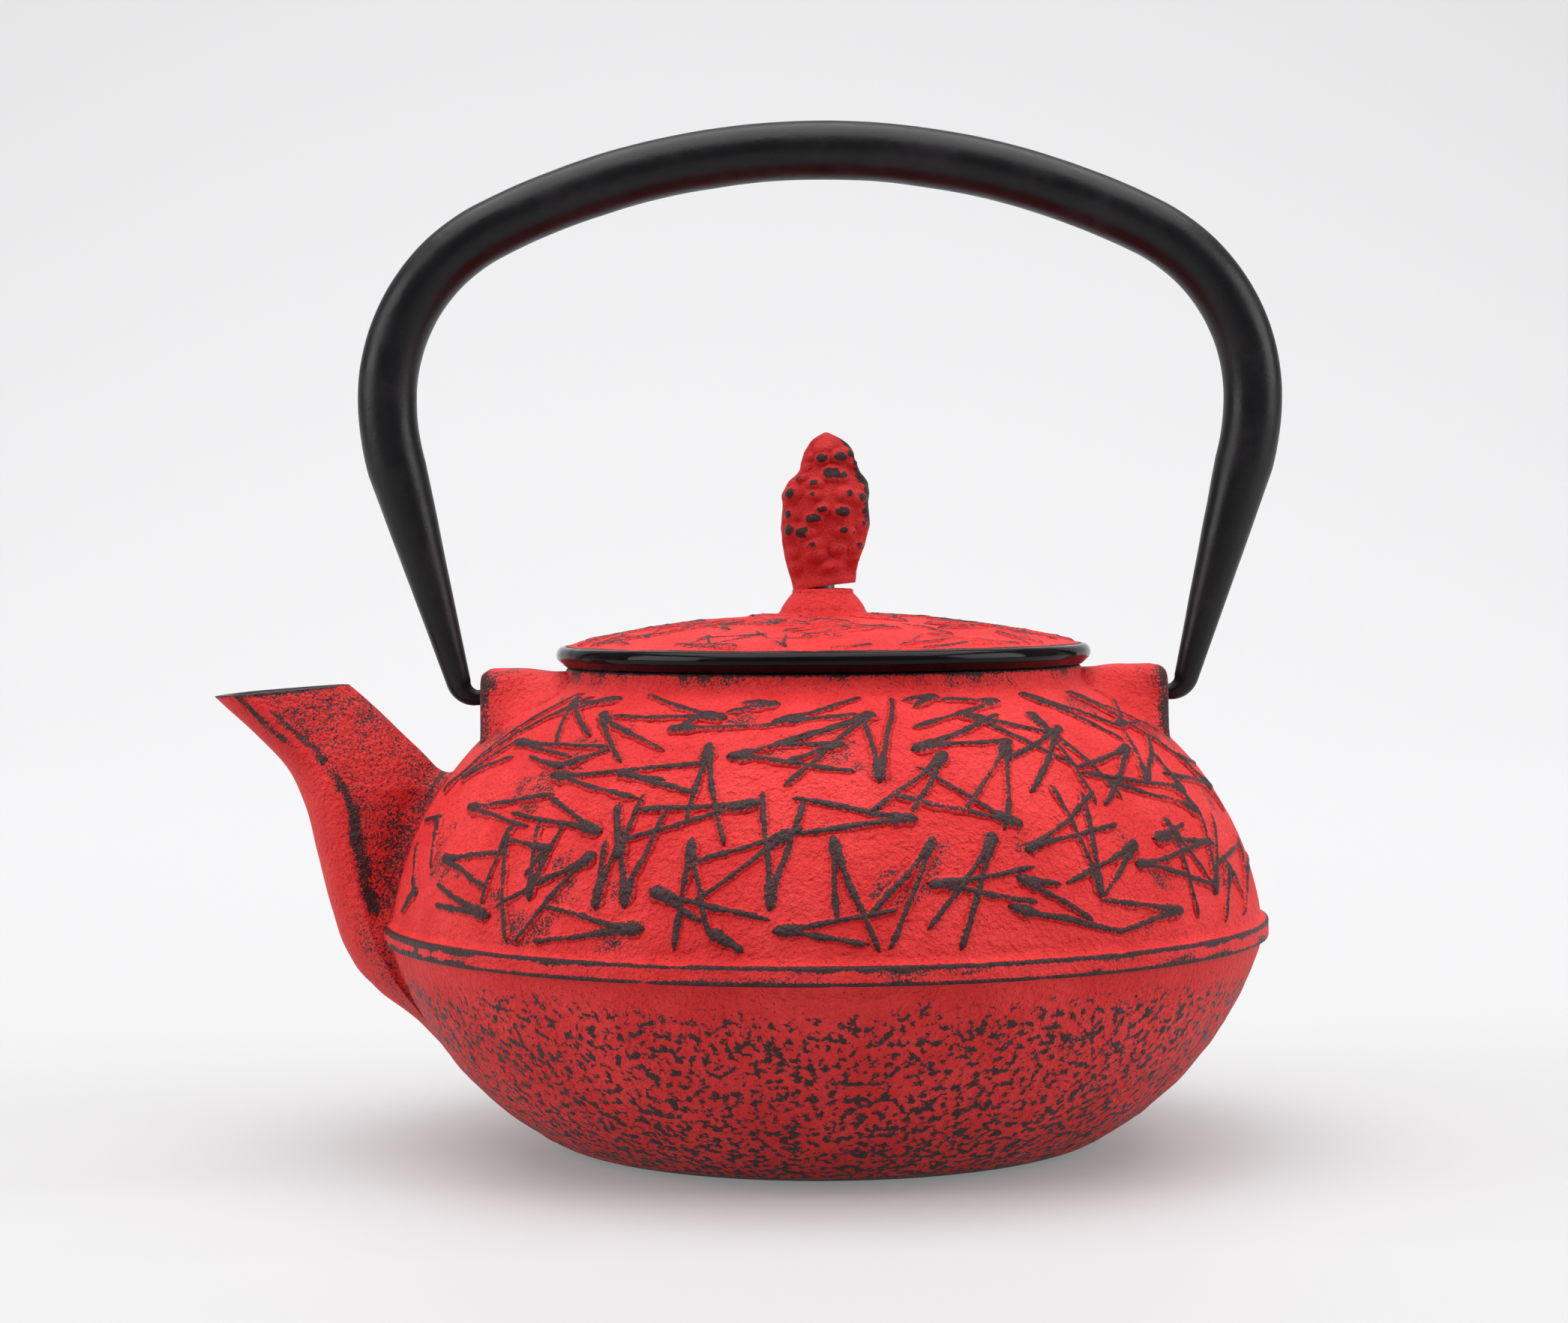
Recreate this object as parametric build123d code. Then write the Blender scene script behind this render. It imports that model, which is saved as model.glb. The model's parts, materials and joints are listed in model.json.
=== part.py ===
from build123d import *
import math
import os

# A small cast iron teapot with an over-arching bail handle, a lid with a
# pine-cone knob and a stainless infuser basket.  Millimetres, +Z up.
# Origin: centre of the flat base.  The spout points along -X and the bail's
# pivot axis lies along X.

# ---- driving dimensions of the pot ----
WALL = 3.0
BASE_RADIUS = 40.5
BELT_RADIUS = 75.0
BELT_BOTTOM = 35.0
BELT_TOP = 38.0
BELT_CHAMFER = 0.4
MOUTH_OUTER_RADIUS = 43.8
MOUTH_TOP = 80.8
RECESS_RADIUS = 40.2
RECESS_FLOOR = 77.8
NECK_RADIUS = 37.2
EDGE_ROUND = 0.7
BOWL_ARC = [(46.6, 1.3), (62.0, 13.4), (73.9, BELT_BOTTOM)]
SHOULDER_ARC = [(73.9, BELT_TOP), (66.7, 58.2), (45.8, 77.4)]
COLLAR_ARC = [(45.8, 77.4), (44.4, 78.3), (MOUTH_OUTER_RADIUS, 79.6)]

# ---- lugs that carry the bail ----
LUG_FACE = 58.0
LUG_ROOT = 41.5
LUG_TOP = 80.6
LUG_FOOT = 64.0
LUG_HALF_WIDTH = 9.0
LUG_FOOT_HALF_WIDTH = 13.0
LUG_ROUND = 1.4
PIVOT_Z = 75.7
HOLE_RADIUS = 1.38
HOLE_FLOOR = 53.0

# ---- spout: level slices, each (height, front x, back x, half width) ----
SPOUT_BACK_ROUND = 0.45
SPOUT_FRONT_ROUND = 0.85
SPOUT_HEEL_SHARE = 0.62
SPOUT_SLICES = [
    (25.0, -73.5, -62.0, 7.0),
    (31.0, -80.4, -60.0, 10.5),
    (44.0, -84.9, -58.0, 11.5),
    (57.0, -88.0, -58.5, 10.0),
    (66.0, -92.7, -67.5, 8.8),
    (73.0, -100.0, -76.0, 7.8),
    (79.0, -105.6, -82.4, 7.4),
]
SPOUT_TIP = (-102.6, 76.3)
SPOUT_MOUTH_BACK = (-81.4, 78.1)
PASSAGE_BOTTOM = 32.0
PASSAGE_SLICES = [
    (PASSAGE_BOTTOM, -77.6, -62.0, 6.4),
    (44.0, -82.3, -60.0, 8.9),
    (57.0, -85.4, -61.5, 7.4),
    (66.0, -90.1, -70.1, 6.2),
    (73.0, -97.4, -78.2, 5.2),
    (79.0, -103.0, -84.2, 4.8),
]

# ---- lid ----
LID_RADIUS = 45.3
LID_SEAT_RADIUS = 43.8
LID_SEAT = MOUTH_TOP + 0.1
LID_RIM_BOTTOM = 81.8
LID_RIM_TOP = 84.0
LID_CROWN = 89.5
LID_CROWN_RADIUS = 188.0
LID_DOME_EDGE = 43.4
SKIRT_RADIUS = 35.3
SKIRT_WALL = 2.0
SKIRT_BOTTOM = 74.0
BOSS_TOP = 93.8
BOSS_RADIUS = 5.2
BOSS_FOOT_RADIUS = 7.5
BOSS_FLARE = [(5.9, 90.1), (BOSS_RADIUS, 92.0)]
PAD_RADIUS = 7.0
PAD_Z = 86.0

# ---- knob and its rivet ----
KNOB_BOTTOM = 94.4
KNOB_TOP = 120.3
KNOB_PROFILE = [
    (5.2, KNOB_BOTTOM),
    (6.1, 97.2),
    (7.0, 101.5),
    (7.3, 106.3),
    (6.7, 110.4),
    (5.2, 113.6),
    (3.9, 116.6),
    (2.0, 119.4),
    (0.0, KNOB_TOP),
]
KNOB_FLATTEN = 0.88
RIVET_RADIUS = 2.0
RIVET_CLEARANCE = 0.06
RIVET_DEPTH_IN_KNOB = 5.0
WASHER_RADIUS = 5.0
WASHER_THICK = 1.0
WASHER_GAP = 0.3
HEAD_RADIUS = 3.4
HEAD_THICK = 1.4

# ---- bail ----
TUBE_RADIUS = 4.97
TUBE_WALL = 1.2
CROWN_Z = 168.1
CROWN_ARC_RADIUS = 124.5
CROWN_ARC_ANGLE = 26.7
SHOULDER_ARC_RADIUS = 32.1
LEG_ARC_RADIUS = 43.5
LEG_TILT = 15.4
TUBE_END_RADIUS = 2.65
TUBE_END_WALL = 1.0
LEG_TAPER_LENGTH = 30.0
ROD_END_RADIUS = 2.05
HOOK_RADIUS = 3.2
PIN_RADIUS = HOLE_RADIUS - 0.06
PIN_END = HOLE_FLOOR + 0.5
SPIGOT_LENGTH = 4.0

# ---- infuser basket ----
SEAT_GAP = 0.05
FLANGE_RADIUS = 39.8
FLANGE_THICK = 0.6
COLLAR_RADIUS = 36.6
SHEET = 0.5
COLLAR_BOTTOM = 66.0
CLOTH = 0.6
CLOTH_TOP = 71.5
BASKET_BOTTOM = 41.6
HEM_HEIGHT = 3.6


def circle_through(points):
    """Centre of the circle through three (r, z) points."""
    (ax, ay), (bx, by), (cx, cy) = points
    d = 2 * (ax * (by - cy) + bx * (cy - ay) + cx * (ay - by))
    a2 = ax * ax + ay * ay
    b2 = bx * bx + by * by
    c2 = cx * cx + cy * cy
    ux = (a2 * (by - cy) + b2 * (cy - ay) + c2 * (ay - by)) / d
    uy = (a2 * (cx - bx) + b2 * (ax - cx) + c2 * (bx - ax)) / d
    return ux, uy


def inset(points, amount):
    """The same arc, moved towards its centre by amount."""
    cx, cy = circle_through(points)
    moved = []
    for x, y in points:
        length = math.hypot(x - cx, y - cy)
        scale = (length - amount) / length
        moved.append((cx + (x - cx) * scale, cy + (y - cy) * scale))
    return moved


def turned(edges):
    """Solid of revolution about Z from edges drawn as (radius, height)."""
    outline = make_face(Plane.XZ * Wire(edges))
    return revolve(outline, Axis.Z)


def polyline(points):
    """Straight edges between (radius, height) points."""
    return [Line(a, b) for a, b in zip(points[:-1], points[1:])]


def disc(radius, bottom, top):
    """Upright cylinder on the Z axis."""
    lift = Pos(0, 0, bottom)
    return lift * Cylinder(radius, top - bottom, align=(Align.CENTER, Align.CENTER, Align.MIN))


def ring(outer, inner, bottom, top):
    """Upright ring on the Z axis."""
    return disc(outer, bottom, top) - disc(inner, bottom - 1, top + 1)


# ---------------- pot casting ----------------
def pot_outside():
    """Outer skin: flat base, bowl, belt, shoulder and a short collar."""
    edges = [
        Line((0, 0), (BASE_RADIUS, 0)),
        TangentArc((BASE_RADIUS, 0), BOWL_ARC[0], tangent=(1, 0)),
        ThreePointArc(*BOWL_ARC),
    ]
    edges += polyline([
        BOWL_ARC[2],
        (BELT_RADIUS - BELT_CHAMFER, BELT_BOTTOM),
        (BELT_RADIUS, BELT_BOTTOM + BELT_CHAMFER),
        (BELT_RADIUS, BELT_TOP - BELT_CHAMFER),
        (BELT_RADIUS - BELT_CHAMFER, BELT_TOP),
        SHOULDER_ARC[0],
    ])
    edges += [ThreePointArc(*SHOULDER_ARC), ThreePointArc(*COLLAR_ARC)]
    edges += polyline([
        COLLAR_ARC[2],
        (MOUTH_OUTER_RADIUS, MOUTH_TOP - EDGE_ROUND),
        (MOUTH_OUTER_RADIUS - EDGE_ROUND, MOUTH_TOP),
        (0, MOUTH_TOP),
        (0, 0),
    ])
    return turned(edges)


def pot_inside():
    """Cavity: the bowl and shoulder set in by the wall, the neck and the ledge."""
    bowl = inset(BOWL_ARC, WALL)
    shoulder = inset(SHOULDER_ARC, WALL)
    edges = [
        Line((0, WALL), (bowl[0][0] - WALL, WALL)),
        Line((bowl[0][0] - WALL, WALL), bowl[0]),
        ThreePointArc(*bowl),
        Line(bowl[2], shoulder[0]),
        ThreePointArc(*shoulder),
        Line(shoulder[2], (0, shoulder[2][1])),
        Line((0, shoulder[2][1]), (0, WALL)),
    ]
    cavity = turned(edges)
    neck = disc(NECK_RADIUS, RECESS_FLOOR - 2 * WALL, MOUTH_TOP + 1)
    recess = disc(RECESS_RADIUS, RECESS_FLOOR, MOUTH_TOP + 1)
    return cavity + neck + recess


def spout_slice(height, front, back, half_width):
    """Level slice of the spout: round nose, flanks tapering to a narrow back."""
    nose = front + SPOUT_FRONT_ROUND * half_width
    heel = back - SPOUT_BACK_ROUND * half_width
    heel_width = SPOUT_HEEL_SHARE * half_width
    outline = Wire([
        ThreePointArc((nose, -half_width), (front, 0), (nose, half_width)),
        Line((nose, half_width), (heel, heel_width)),
        ThreePointArc((heel, heel_width), (back, 0), (heel, -heel_width)),
        Line((heel, -heel_width), (nose, -half_width)),
    ])
    return Pos(0, 0, height) * make_face(outline)


def spout_solid(slices):
    """Smooth body through the level slices."""
    return loft([spout_slice(*row) for row in slices])


def mouth_cutter():
    """Everything above the sloping cut at the spout's mouth."""
    (tip_x, tip_z), (back_x, back_z) = SPOUT_TIP, SPOUT_MOUTH_BACK
    slope = (back_z - tip_z) / (back_x - tip_x)
    far = tip_x - 10
    near = back_x + 12
    outline = Polyline(
        (far, tip_z - 10 * slope),
        (near, back_z + 12 * slope),
        (near, back_z + 20),
        (far, back_z + 20),
        close=True,
    )
    face = make_face(Plane.XZ * outline)
    return extrude(face, amount=20, both=True)


def lug(side):
    """One ear for the bail: flat outer face, level top, foot wider than the top."""
    top = Polyline(
        (LUG_ROOT, -LUG_HALF_WIDTH),
        (LUG_FACE, -LUG_HALF_WIDTH),
        (LUG_FACE, LUG_HALF_WIDTH),
        (LUG_ROOT, LUG_HALF_WIDTH),
        close=True,
    )
    foot = Polyline(
        (LUG_ROOT, -LUG_FOOT_HALF_WIDTH),
        (LUG_FACE, -LUG_FOOT_HALF_WIDTH),
        (LUG_FACE, LUG_FOOT_HALF_WIDTH),
        (LUG_ROOT, LUG_FOOT_HALF_WIDTH),
        close=True,
    )
    block = loft([Pos(0, 0, LUG_FOOT) * make_face(foot), Pos(0, 0, LUG_TOP) * make_face(top)])
    outer = block.faces().sort_by(Axis.X)[-1]
    keep = [edge for edge in outer.edges() if edge.center().Z > LUG_FOOT + 1]
    block = fillet(keep, LUG_ROUND)
    return block if side > 0 else block.mirror(Plane.YZ)


def pivot_hole(side):
    """Blind hole along X in one ear."""
    length = LUG_FACE + 3 - HOLE_FLOOR
    centre = side * (HOLE_FLOOR + length / 2)
    return Pos(centre, 0, PIVOT_Z) * Rot(0, 90, 0) * Cylinder(HOLE_RADIUS, length)


def make_pot():
    """Bowl, shoulder, mouth and ears, with the passage to the spout cut through the wall."""
    casting = pot_outside() + lug(1) + lug(-1)
    casting = casting - pot_inside() - spout_solid(PASSAGE_SLICES)
    return casting - pivot_hole(1) - pivot_hole(-1)


def make_spout():
    """Spout: what stands outside the pot's wall, with its passage and sloping mouth."""
    return spout_solid(SPOUT_SLICES) - mouth_cutter() - pot_outside() - spout_solid(PASSAGE_SLICES)


# ---------------- lid and knob ----------------
def dome_height(radius, drop=0.0):
    """Height of the lid's round crown at a radius."""
    ball = LID_CROWN_RADIUS - drop
    centre = LID_CROWN - LID_CROWN_RADIUS
    return centre + math.sqrt(ball * ball - radius * radius)


def make_lid():
    """Lid: shallow dome, rolled rim, seat, locating skirt and the knob's boss."""
    inner = SKIRT_RADIUS - SKIRT_WALL
    dome_end = (LID_DOME_EDGE, dome_height(LID_DOME_EDGE))
    half_way = LID_DOME_EDGE / 2
    edges = [
        ThreePointArc((0, LID_CROWN), (half_way, dome_height(half_way)), dome_end),
    ]
    edges += polyline([
        dome_end,
        (LID_RADIUS - EDGE_ROUND, LID_RIM_TOP),
        (LID_RADIUS, LID_RIM_TOP - EDGE_ROUND),
        (LID_RADIUS, LID_RIM_BOTTOM),
        (LID_SEAT_RADIUS, LID_SEAT),
        (SKIRT_RADIUS, LID_SEAT),
        (SKIRT_RADIUS, SKIRT_BOTTOM),
        (inner, SKIRT_BOTTOM),
        (inner, dome_height(inner, WALL)),
    ])
    edges += [
        ThreePointArc(
            (inner, dome_height(inner, WALL)),
            (inner / 2, dome_height(inner / 2, WALL)),
            (0, LID_CROWN - WALL),
        ),
        Line((0, LID_CROWN - WALL), (0, LID_CROWN)),
    ]
    shell = turned(edges)
    boss_foot = LID_CROWN - 1
    boss = turned([
        Line((0, boss_foot), (BOSS_FOOT_RADIUS, boss_foot)),
        ThreePointArc((BOSS_FOOT_RADIUS, boss_foot), *BOSS_FLARE),
        Line(BOSS_FLARE[1], (BOSS_RADIUS, BOSS_TOP)),
        Line((BOSS_RADIUS, BOSS_TOP), (0, BOSS_TOP)),
        Line((0, BOSS_TOP), (0, boss_foot)),
    ])
    pad = disc(PAD_RADIUS, PAD_Z, LID_CROWN - 1)
    bore = disc(RIVET_RADIUS + RIVET_CLEARANCE, PAD_Z - 1, BOSS_TOP + 1)
    return shell + boss + pad - bore


def make_knob():
    """Pine-cone blank: a slightly flattened turned shape with a blind bore."""
    base = KNOB_PROFILE[0]
    outline = [
        Line((0, KNOB_BOTTOM), base),
        Spline(*KNOB_PROFILE),
        Line((0, KNOB_TOP), (0, KNOB_BOTTOM)),
    ]
    cone = scale(turned(outline), by=(1.0, KNOB_FLATTEN, 1.0))
    return cone - disc(RIVET_RADIUS, KNOB_BOTTOM - 1, KNOB_BOTTOM + RIVET_DEPTH_IN_KNOB)


def washer_bottom():
    """Lower face of the rivet's washer."""
    return PAD_Z - WASHER_GAP - WASHER_THICK


def make_rivet():
    """Rivet: shank in the knob, head peened under the washer."""
    shank = disc(RIVET_RADIUS, washer_bottom(), KNOB_BOTTOM + RIVET_DEPTH_IN_KNOB)
    head = disc(HEAD_RADIUS, washer_bottom() - HEAD_THICK, washer_bottom())
    rim = head.edges().sort_by(Axis.Z)[0]
    return shank + fillet(rim, HEAD_THICK * 0.6)


# ---------------- bail ----------------
def arc_points(centre, radius, start, end):
    """Three (x, z) points of an arc; angles in degrees from straight up, clockwise."""
    middle = (start + end) / 2
    points = []
    for angle in (start, middle, end):
        a = math.radians(angle)
        points.append((centre[0] + radius * math.sin(a), centre[1] + radius * math.cos(a)))
    return points


def bail_arcs():
    """The +X half of the bail's centreline: crown, shoulder and leg arcs."""
    crown = arc_points((0, CROWN_Z - CROWN_ARC_RADIUS), CROWN_ARC_RADIUS, 0, CROWN_ARC_ANGLE)
    reach = SHOULDER_ARC_RADIUS
    a = math.radians(CROWN_ARC_ANGLE)
    centre = (crown[2][0] - reach * math.sin(a), crown[2][1] - reach * math.cos(a))
    shoulder = arc_points(centre, reach, CROWN_ARC_ANGLE, 90)
    centre = (shoulder[2][0] - LEG_ARC_RADIUS, shoulder[2][1])
    leg = arc_points(centre, LEG_ARC_RADIUS, 90, 90 + LEG_TILT)
    return crown, shoulder, leg


def leg_point(distance):
    """(x, z) on the straight leg, measured down from the end of the leg arc."""
    start = bail_arcs()[2][2]
    tilt = math.radians(LEG_TILT)
    return start[0] - distance * math.sin(tilt), start[1] - distance * math.cos(tilt)


def on_leg(bar, start, side):
    """A bar standing on its origin, laid down the straight leg from start."""
    x, z = leg_point(start)
    placed = Pos(x, 0, z) * Rot(0, 180 + LEG_TILT, 0) * bar
    return placed if side > 0 else placed.mirror(Plane.YZ)


def cone(first_radius, last_radius, length):
    """Tapered bar standing on its origin."""
    return Cone(first_radius, last_radius, length, align=(Align.CENTER, Align.CENTER, Align.MIN))


def arch(radius):
    """Bent bar of constant radius from one leg, over the crown, to the other."""
    crown, shoulder, leg = bail_arcs()
    half = [crown, shoulder, leg]
    edges = []
    for points in half:
        edges.append(ThreePointArc(*points))
        edges.append(ThreePointArc(*[(-x, z) for x, z in points]))
    path = Wire([Plane.XZ * edge for edge in edges])
    start = leg_point(0)
    tilt = math.radians(LEG_TILT)
    plane = Plane(origin=(start[0], 0, start[1]), z_dir=(math.sin(tilt), 0, math.cos(tilt)))
    return sweep(plane * Circle(radius), path=path)


def make_bail_tube():
    """Hollow steel tube of the handle, its legs tapering to the hook ends."""
    outside = arch(TUBE_RADIUS)
    hollow = arch(TUBE_RADIUS - TUBE_WALL)
    bore = TUBE_END_RADIUS - TUBE_END_WALL
    bore_start = LEG_TAPER_LENGTH - SPIGOT_LENGTH
    for side in (1, -1):
        outside += on_leg(cone(TUBE_RADIUS, TUBE_END_RADIUS, LEG_TAPER_LENGTH), 0, side)
        hollow += on_leg(cone(TUBE_RADIUS - TUBE_WALL, bore, bore_start), 0, side)
        hollow += on_leg(disc(bore, 0, SPIGOT_LENGTH + 1), bore_start, side)
    return outside - hollow


def make_hook(side):
    """Solid hook end: spigot in the tube, rest of the leg, bend and pivot pin."""
    x_end, z_end = leg_point(LEG_TAPER_LENGTH)
    tilt = math.radians(LEG_TILT)
    drop = z_end - PIVOT_Z
    corner_x = x_end - drop * math.tan(tilt)
    half_turn = (90 - LEG_TILT) / 2
    set_back = HOOK_RADIUS * math.tan(math.radians(half_turn))
    rod_length = drop / math.cos(tilt) - set_back
    bend_start = leg_point(LEG_TAPER_LENGTH + rod_length)
    bend_end = (corner_x - set_back, PIVOT_Z)
    centre = (bend_end[0], PIVOT_Z + HOOK_RADIUS)
    middle = math.radians(90 + LEG_TILT + half_turn)
    bend_middle = (centre[0] + HOOK_RADIUS * math.sin(middle), centre[1] + HOOK_RADIUS * math.cos(middle))
    path = Plane.XZ * ThreePointArc(bend_start, bend_middle, bend_end)
    start_plane = Plane(
        origin=(bend_start[0], 0, bend_start[1]),
        z_dir=(-math.sin(tilt), 0, -math.cos(tilt)),
    )
    end_plane = Plane(origin=(bend_end[0], 0, bend_end[1]), z_dir=(-1, 0, 0))
    sections = [start_plane * Circle(ROD_END_RADIUS), end_plane * Circle(PIN_RADIUS)]
    bend = sweep(sections=sections, path=path, multisection=True)
    pin_length = bend_end[0] - PIN_END
    pin = Pos(bend_end[0] - pin_length / 2, 0, PIVOT_Z) * Rot(0, 90, 0) * Cylinder(PIN_RADIUS, pin_length)
    bore = TUBE_END_RADIUS - TUBE_END_WALL
    spigot = on_leg(disc(bore, 0, SPIGOT_LENGTH), LEG_TAPER_LENGTH - SPIGOT_LENGTH, 1)
    rod = on_leg(cone(TUBE_END_RADIUS, ROD_END_RADIUS, rod_length), LEG_TAPER_LENGTH, 1)
    hook = spigot + rod + bend + pin
    return hook if side > 0 else hook.mirror(Plane.YZ)


# ---------------- infuser ----------------
def make_infuser_rim():
    """Pressed flange that rests on the ledge, with its straight collar."""
    seat = RECESS_FLOOR + SEAT_GAP
    inner = COLLAR_RADIUS - SHEET
    flange = ring(FLANGE_RADIUS, inner, seat, seat + FLANGE_THICK)
    collar = ring(COLLAR_RADIUS, inner, COLLAR_BOTTOM, seat + FLANGE_THICK)
    return flange + collar


def make_infuser_wall():
    """Wire-cloth tube of the basket, standing for its cloth as a thin wall."""
    outer = COLLAR_RADIUS - SHEET
    return ring(outer, outer - CLOTH, BASKET_BOTTOM, CLOTH_TOP)


def make_infuser_floor():
    """Wire-cloth disc that closes the basket."""
    return disc(COLLAR_RADIUS - SHEET - CLOTH, BASKET_BOTTOM, BASKET_BOTTOM + CLOTH)


def make_infuser_hem():
    """Folded band round the foot of the basket."""
    return ring(COLLAR_RADIUS, COLLAR_RADIUS - SHEET, BASKET_BOTTOM, BASKET_BOTTOM + HEM_HEIGHT)


PARTS = {
    "pot_body": make_pot(),
    "spout": make_spout(),
    "lid": make_lid(),
    "knob": make_knob(),
    "knob_rivet": make_rivet(),
    "knob_washer": ring(WASHER_RADIUS, RIVET_RADIUS, washer_bottom(), washer_bottom() + WASHER_THICK),
    "bail_tube": make_bail_tube(),
    "bail_hook_spout_side": make_hook(-1),
    "bail_hook_back_side": make_hook(1),
    "infuser_rim": make_infuser_rim(),
    "infuser_wall": make_infuser_wall(),
    "infuser_floor": make_infuser_floor(),
    "infuser_hem": make_infuser_hem(),
}

os.makedirs("parts", exist_ok=True)
for name, solid in PARTS.items():
    export_step(solid, f"parts/{name}.step")
    box = solid.bounding_box()
    size = box.size
    print(name, "volume", round(solid.volume), "size", round(size.X, 1), round(size.Y, 1), round(size.Z, 1))
print("room inside the pot in ml:", round(pot_inside().volume / 1000))
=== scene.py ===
"""Looks of a small cast iron teapot: relief, rubbed red paint, enamel, handle and studio.

Lengths inside the classes are millimetres in the teapot's own frame (origin at the centre of
the flat base, +Z up, spout towards -X).  They become metres only when a mesh is made.
"""

import functools
import itertools
import json
import logging
import math
from collections.abc import Sequence
from dataclasses import dataclass
from enum import Enum

import bpy
import numpy as np
from mathutils import Matrix, Vector

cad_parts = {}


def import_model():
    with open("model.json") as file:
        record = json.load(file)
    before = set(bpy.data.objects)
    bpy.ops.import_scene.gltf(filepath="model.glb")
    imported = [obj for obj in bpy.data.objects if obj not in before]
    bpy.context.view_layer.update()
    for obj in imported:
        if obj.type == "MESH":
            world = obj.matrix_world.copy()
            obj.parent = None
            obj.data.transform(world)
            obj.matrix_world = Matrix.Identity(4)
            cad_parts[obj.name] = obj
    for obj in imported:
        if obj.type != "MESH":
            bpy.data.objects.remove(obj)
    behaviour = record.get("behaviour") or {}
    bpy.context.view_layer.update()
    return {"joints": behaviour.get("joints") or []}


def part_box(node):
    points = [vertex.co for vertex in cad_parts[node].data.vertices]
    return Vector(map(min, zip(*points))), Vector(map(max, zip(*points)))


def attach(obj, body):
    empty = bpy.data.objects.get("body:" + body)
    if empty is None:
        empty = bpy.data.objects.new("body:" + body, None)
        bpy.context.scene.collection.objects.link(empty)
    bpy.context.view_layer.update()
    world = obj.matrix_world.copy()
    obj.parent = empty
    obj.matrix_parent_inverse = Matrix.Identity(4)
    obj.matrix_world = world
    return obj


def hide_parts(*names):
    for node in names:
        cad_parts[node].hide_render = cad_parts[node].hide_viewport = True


LOG = logging.getLogger("teapot")
MM = 0.001
HASH_AXES = (73856093, 19349663, 83492791)
HASH_SEED = 2654435761
HASH_ROUNDS = ((15, 2246822519), (13, 3266489917))
HASH_MASK = 0xFFFFFFFF
TINY = 1e-6
GOLDEN_TURN = math.pi * (3 - math.sqrt(5))

Array = np.ndarray
Spot = tuple[float, float]
Place = tuple[float, float, float]
Colour = tuple[float, float, float]
Material = bpy.types.Material
Piece = bpy.types.Object
Socket = bpy.types.NodeSocket


class Slot(Enum):
    """Names of the record's material slots; no piece here is given one."""

    POT = "pot_paint"
    LID = "lid_paint"
    KNOB = "knob_paint"
    HANDLE = "handle_paint"
    CLOTH = "stainless_cloth"


class Side(Enum):
    """The two ends of the pot along X."""

    SPOUT = -1
    BACK = 1


# How far the patch on top of each ear is rubbed; the hand tilts the pot on the spout side.
EAR_WEAR = {Side.SPOUT: 0.66, Side.BACK: 0.40}


# ---------------------------------------------------------------- shared shape tools
def smooth_step(value: Array, low: float, high: float) -> Array:
    """Rise from 0 at low to 1 at high with level ends.

    Args:
        value: numbers to map.
        low: value that gives 0.
        high: value that gives 1.

    Returns:
        The mapped numbers, t squared times (3 - 2t).
    """
    t = np.clip((value - low) / (high - low), 0.0, 1.0)
    return t * t * (3.0 - 2.0 * t)


def lattice_noise(points: Array, cell: float, seed: int) -> Array:
    """Smooth random field: values at the corners of a cubic lattice, blended between them.

    A corner's value is a hash of its whole-number place and the seed: each axis times a large
    odd number, mixed by shifts and multiplications, so it is the same on every run.

    Args:
        points: places, with x, y, z on the last axis.
        cell: edge of a lattice cube, in the unit of the points.
        seed: picks another field; no two marks on the teapot share one.

    Returns:
        One number from -1 to 1 for each place.
    """
    scaled = points / cell
    base = np.floor(scaled).astype(np.int64)
    part = scaled - base
    part = part * part * (3.0 - 2.0 * part)
    total = np.zeros(points.shape[:-1])
    for corner in itertools.product((0, 1), repeat=3):
        node = (base + np.array(corner)) * np.array(HASH_AXES)
        mixed = node[..., 0] ^ node[..., 1] ^ node[..., 2]
        mixed = (mixed ^ seed * HASH_SEED) & HASH_MASK
        for shift, factor in HASH_ROUNDS:
            mixed = ((mixed ^ mixed >> shift) * factor) & HASH_MASK
        value = ((mixed ^ mixed >> 16) & 0xFFFF) / 32767.5 - 1.0
        weight = np.prod(np.where(np.array(corner) == 1, part, 1.0 - part), axis=-1)
        total = total + value * weight
    return total


def layered_noise(points: Array, cell: float, seed: int, layers: int = 3) -> Array:
    """Lattice noise with finer layers added, each half as large and half as strong.

    Args:
        points: places, with x, y, z on the last axis.
        cell: cell of the coarsest layer.
        seed: picks another field.
        layers: how many layers.

    Returns:
        Numbers of about -1 to 1.
    """
    total = np.zeros(points.shape[:-1])
    for layer in range(layers):
        total = total + lattice_noise(points, cell * 0.5**layer, seed + layer) * 0.5**layer
    return total / 1.4


def unit(vectors: Array) -> Array:
    """The vectors brought to length 1, xyz on the last axis."""
    return vectors / np.linalg.norm(vectors, axis=-1, keepdims=True)


def round_angles(columns: int) -> Array:
    """Equal steps of angle round a full turn, the last one short of it."""
    return np.arange(columns) * math.tau / columns


def step_lengths(points: Array) -> Array:
    """Lengths of the straight steps from each point to the next."""
    return np.linalg.norm(np.diff(points, axis=0), axis=1)


def travelled(points: Array) -> Array:
    """Distance along a line of points at each of them, 0 at the first."""
    return np.concatenate([[0.0], np.cumsum(step_lengths(points))])


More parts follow.
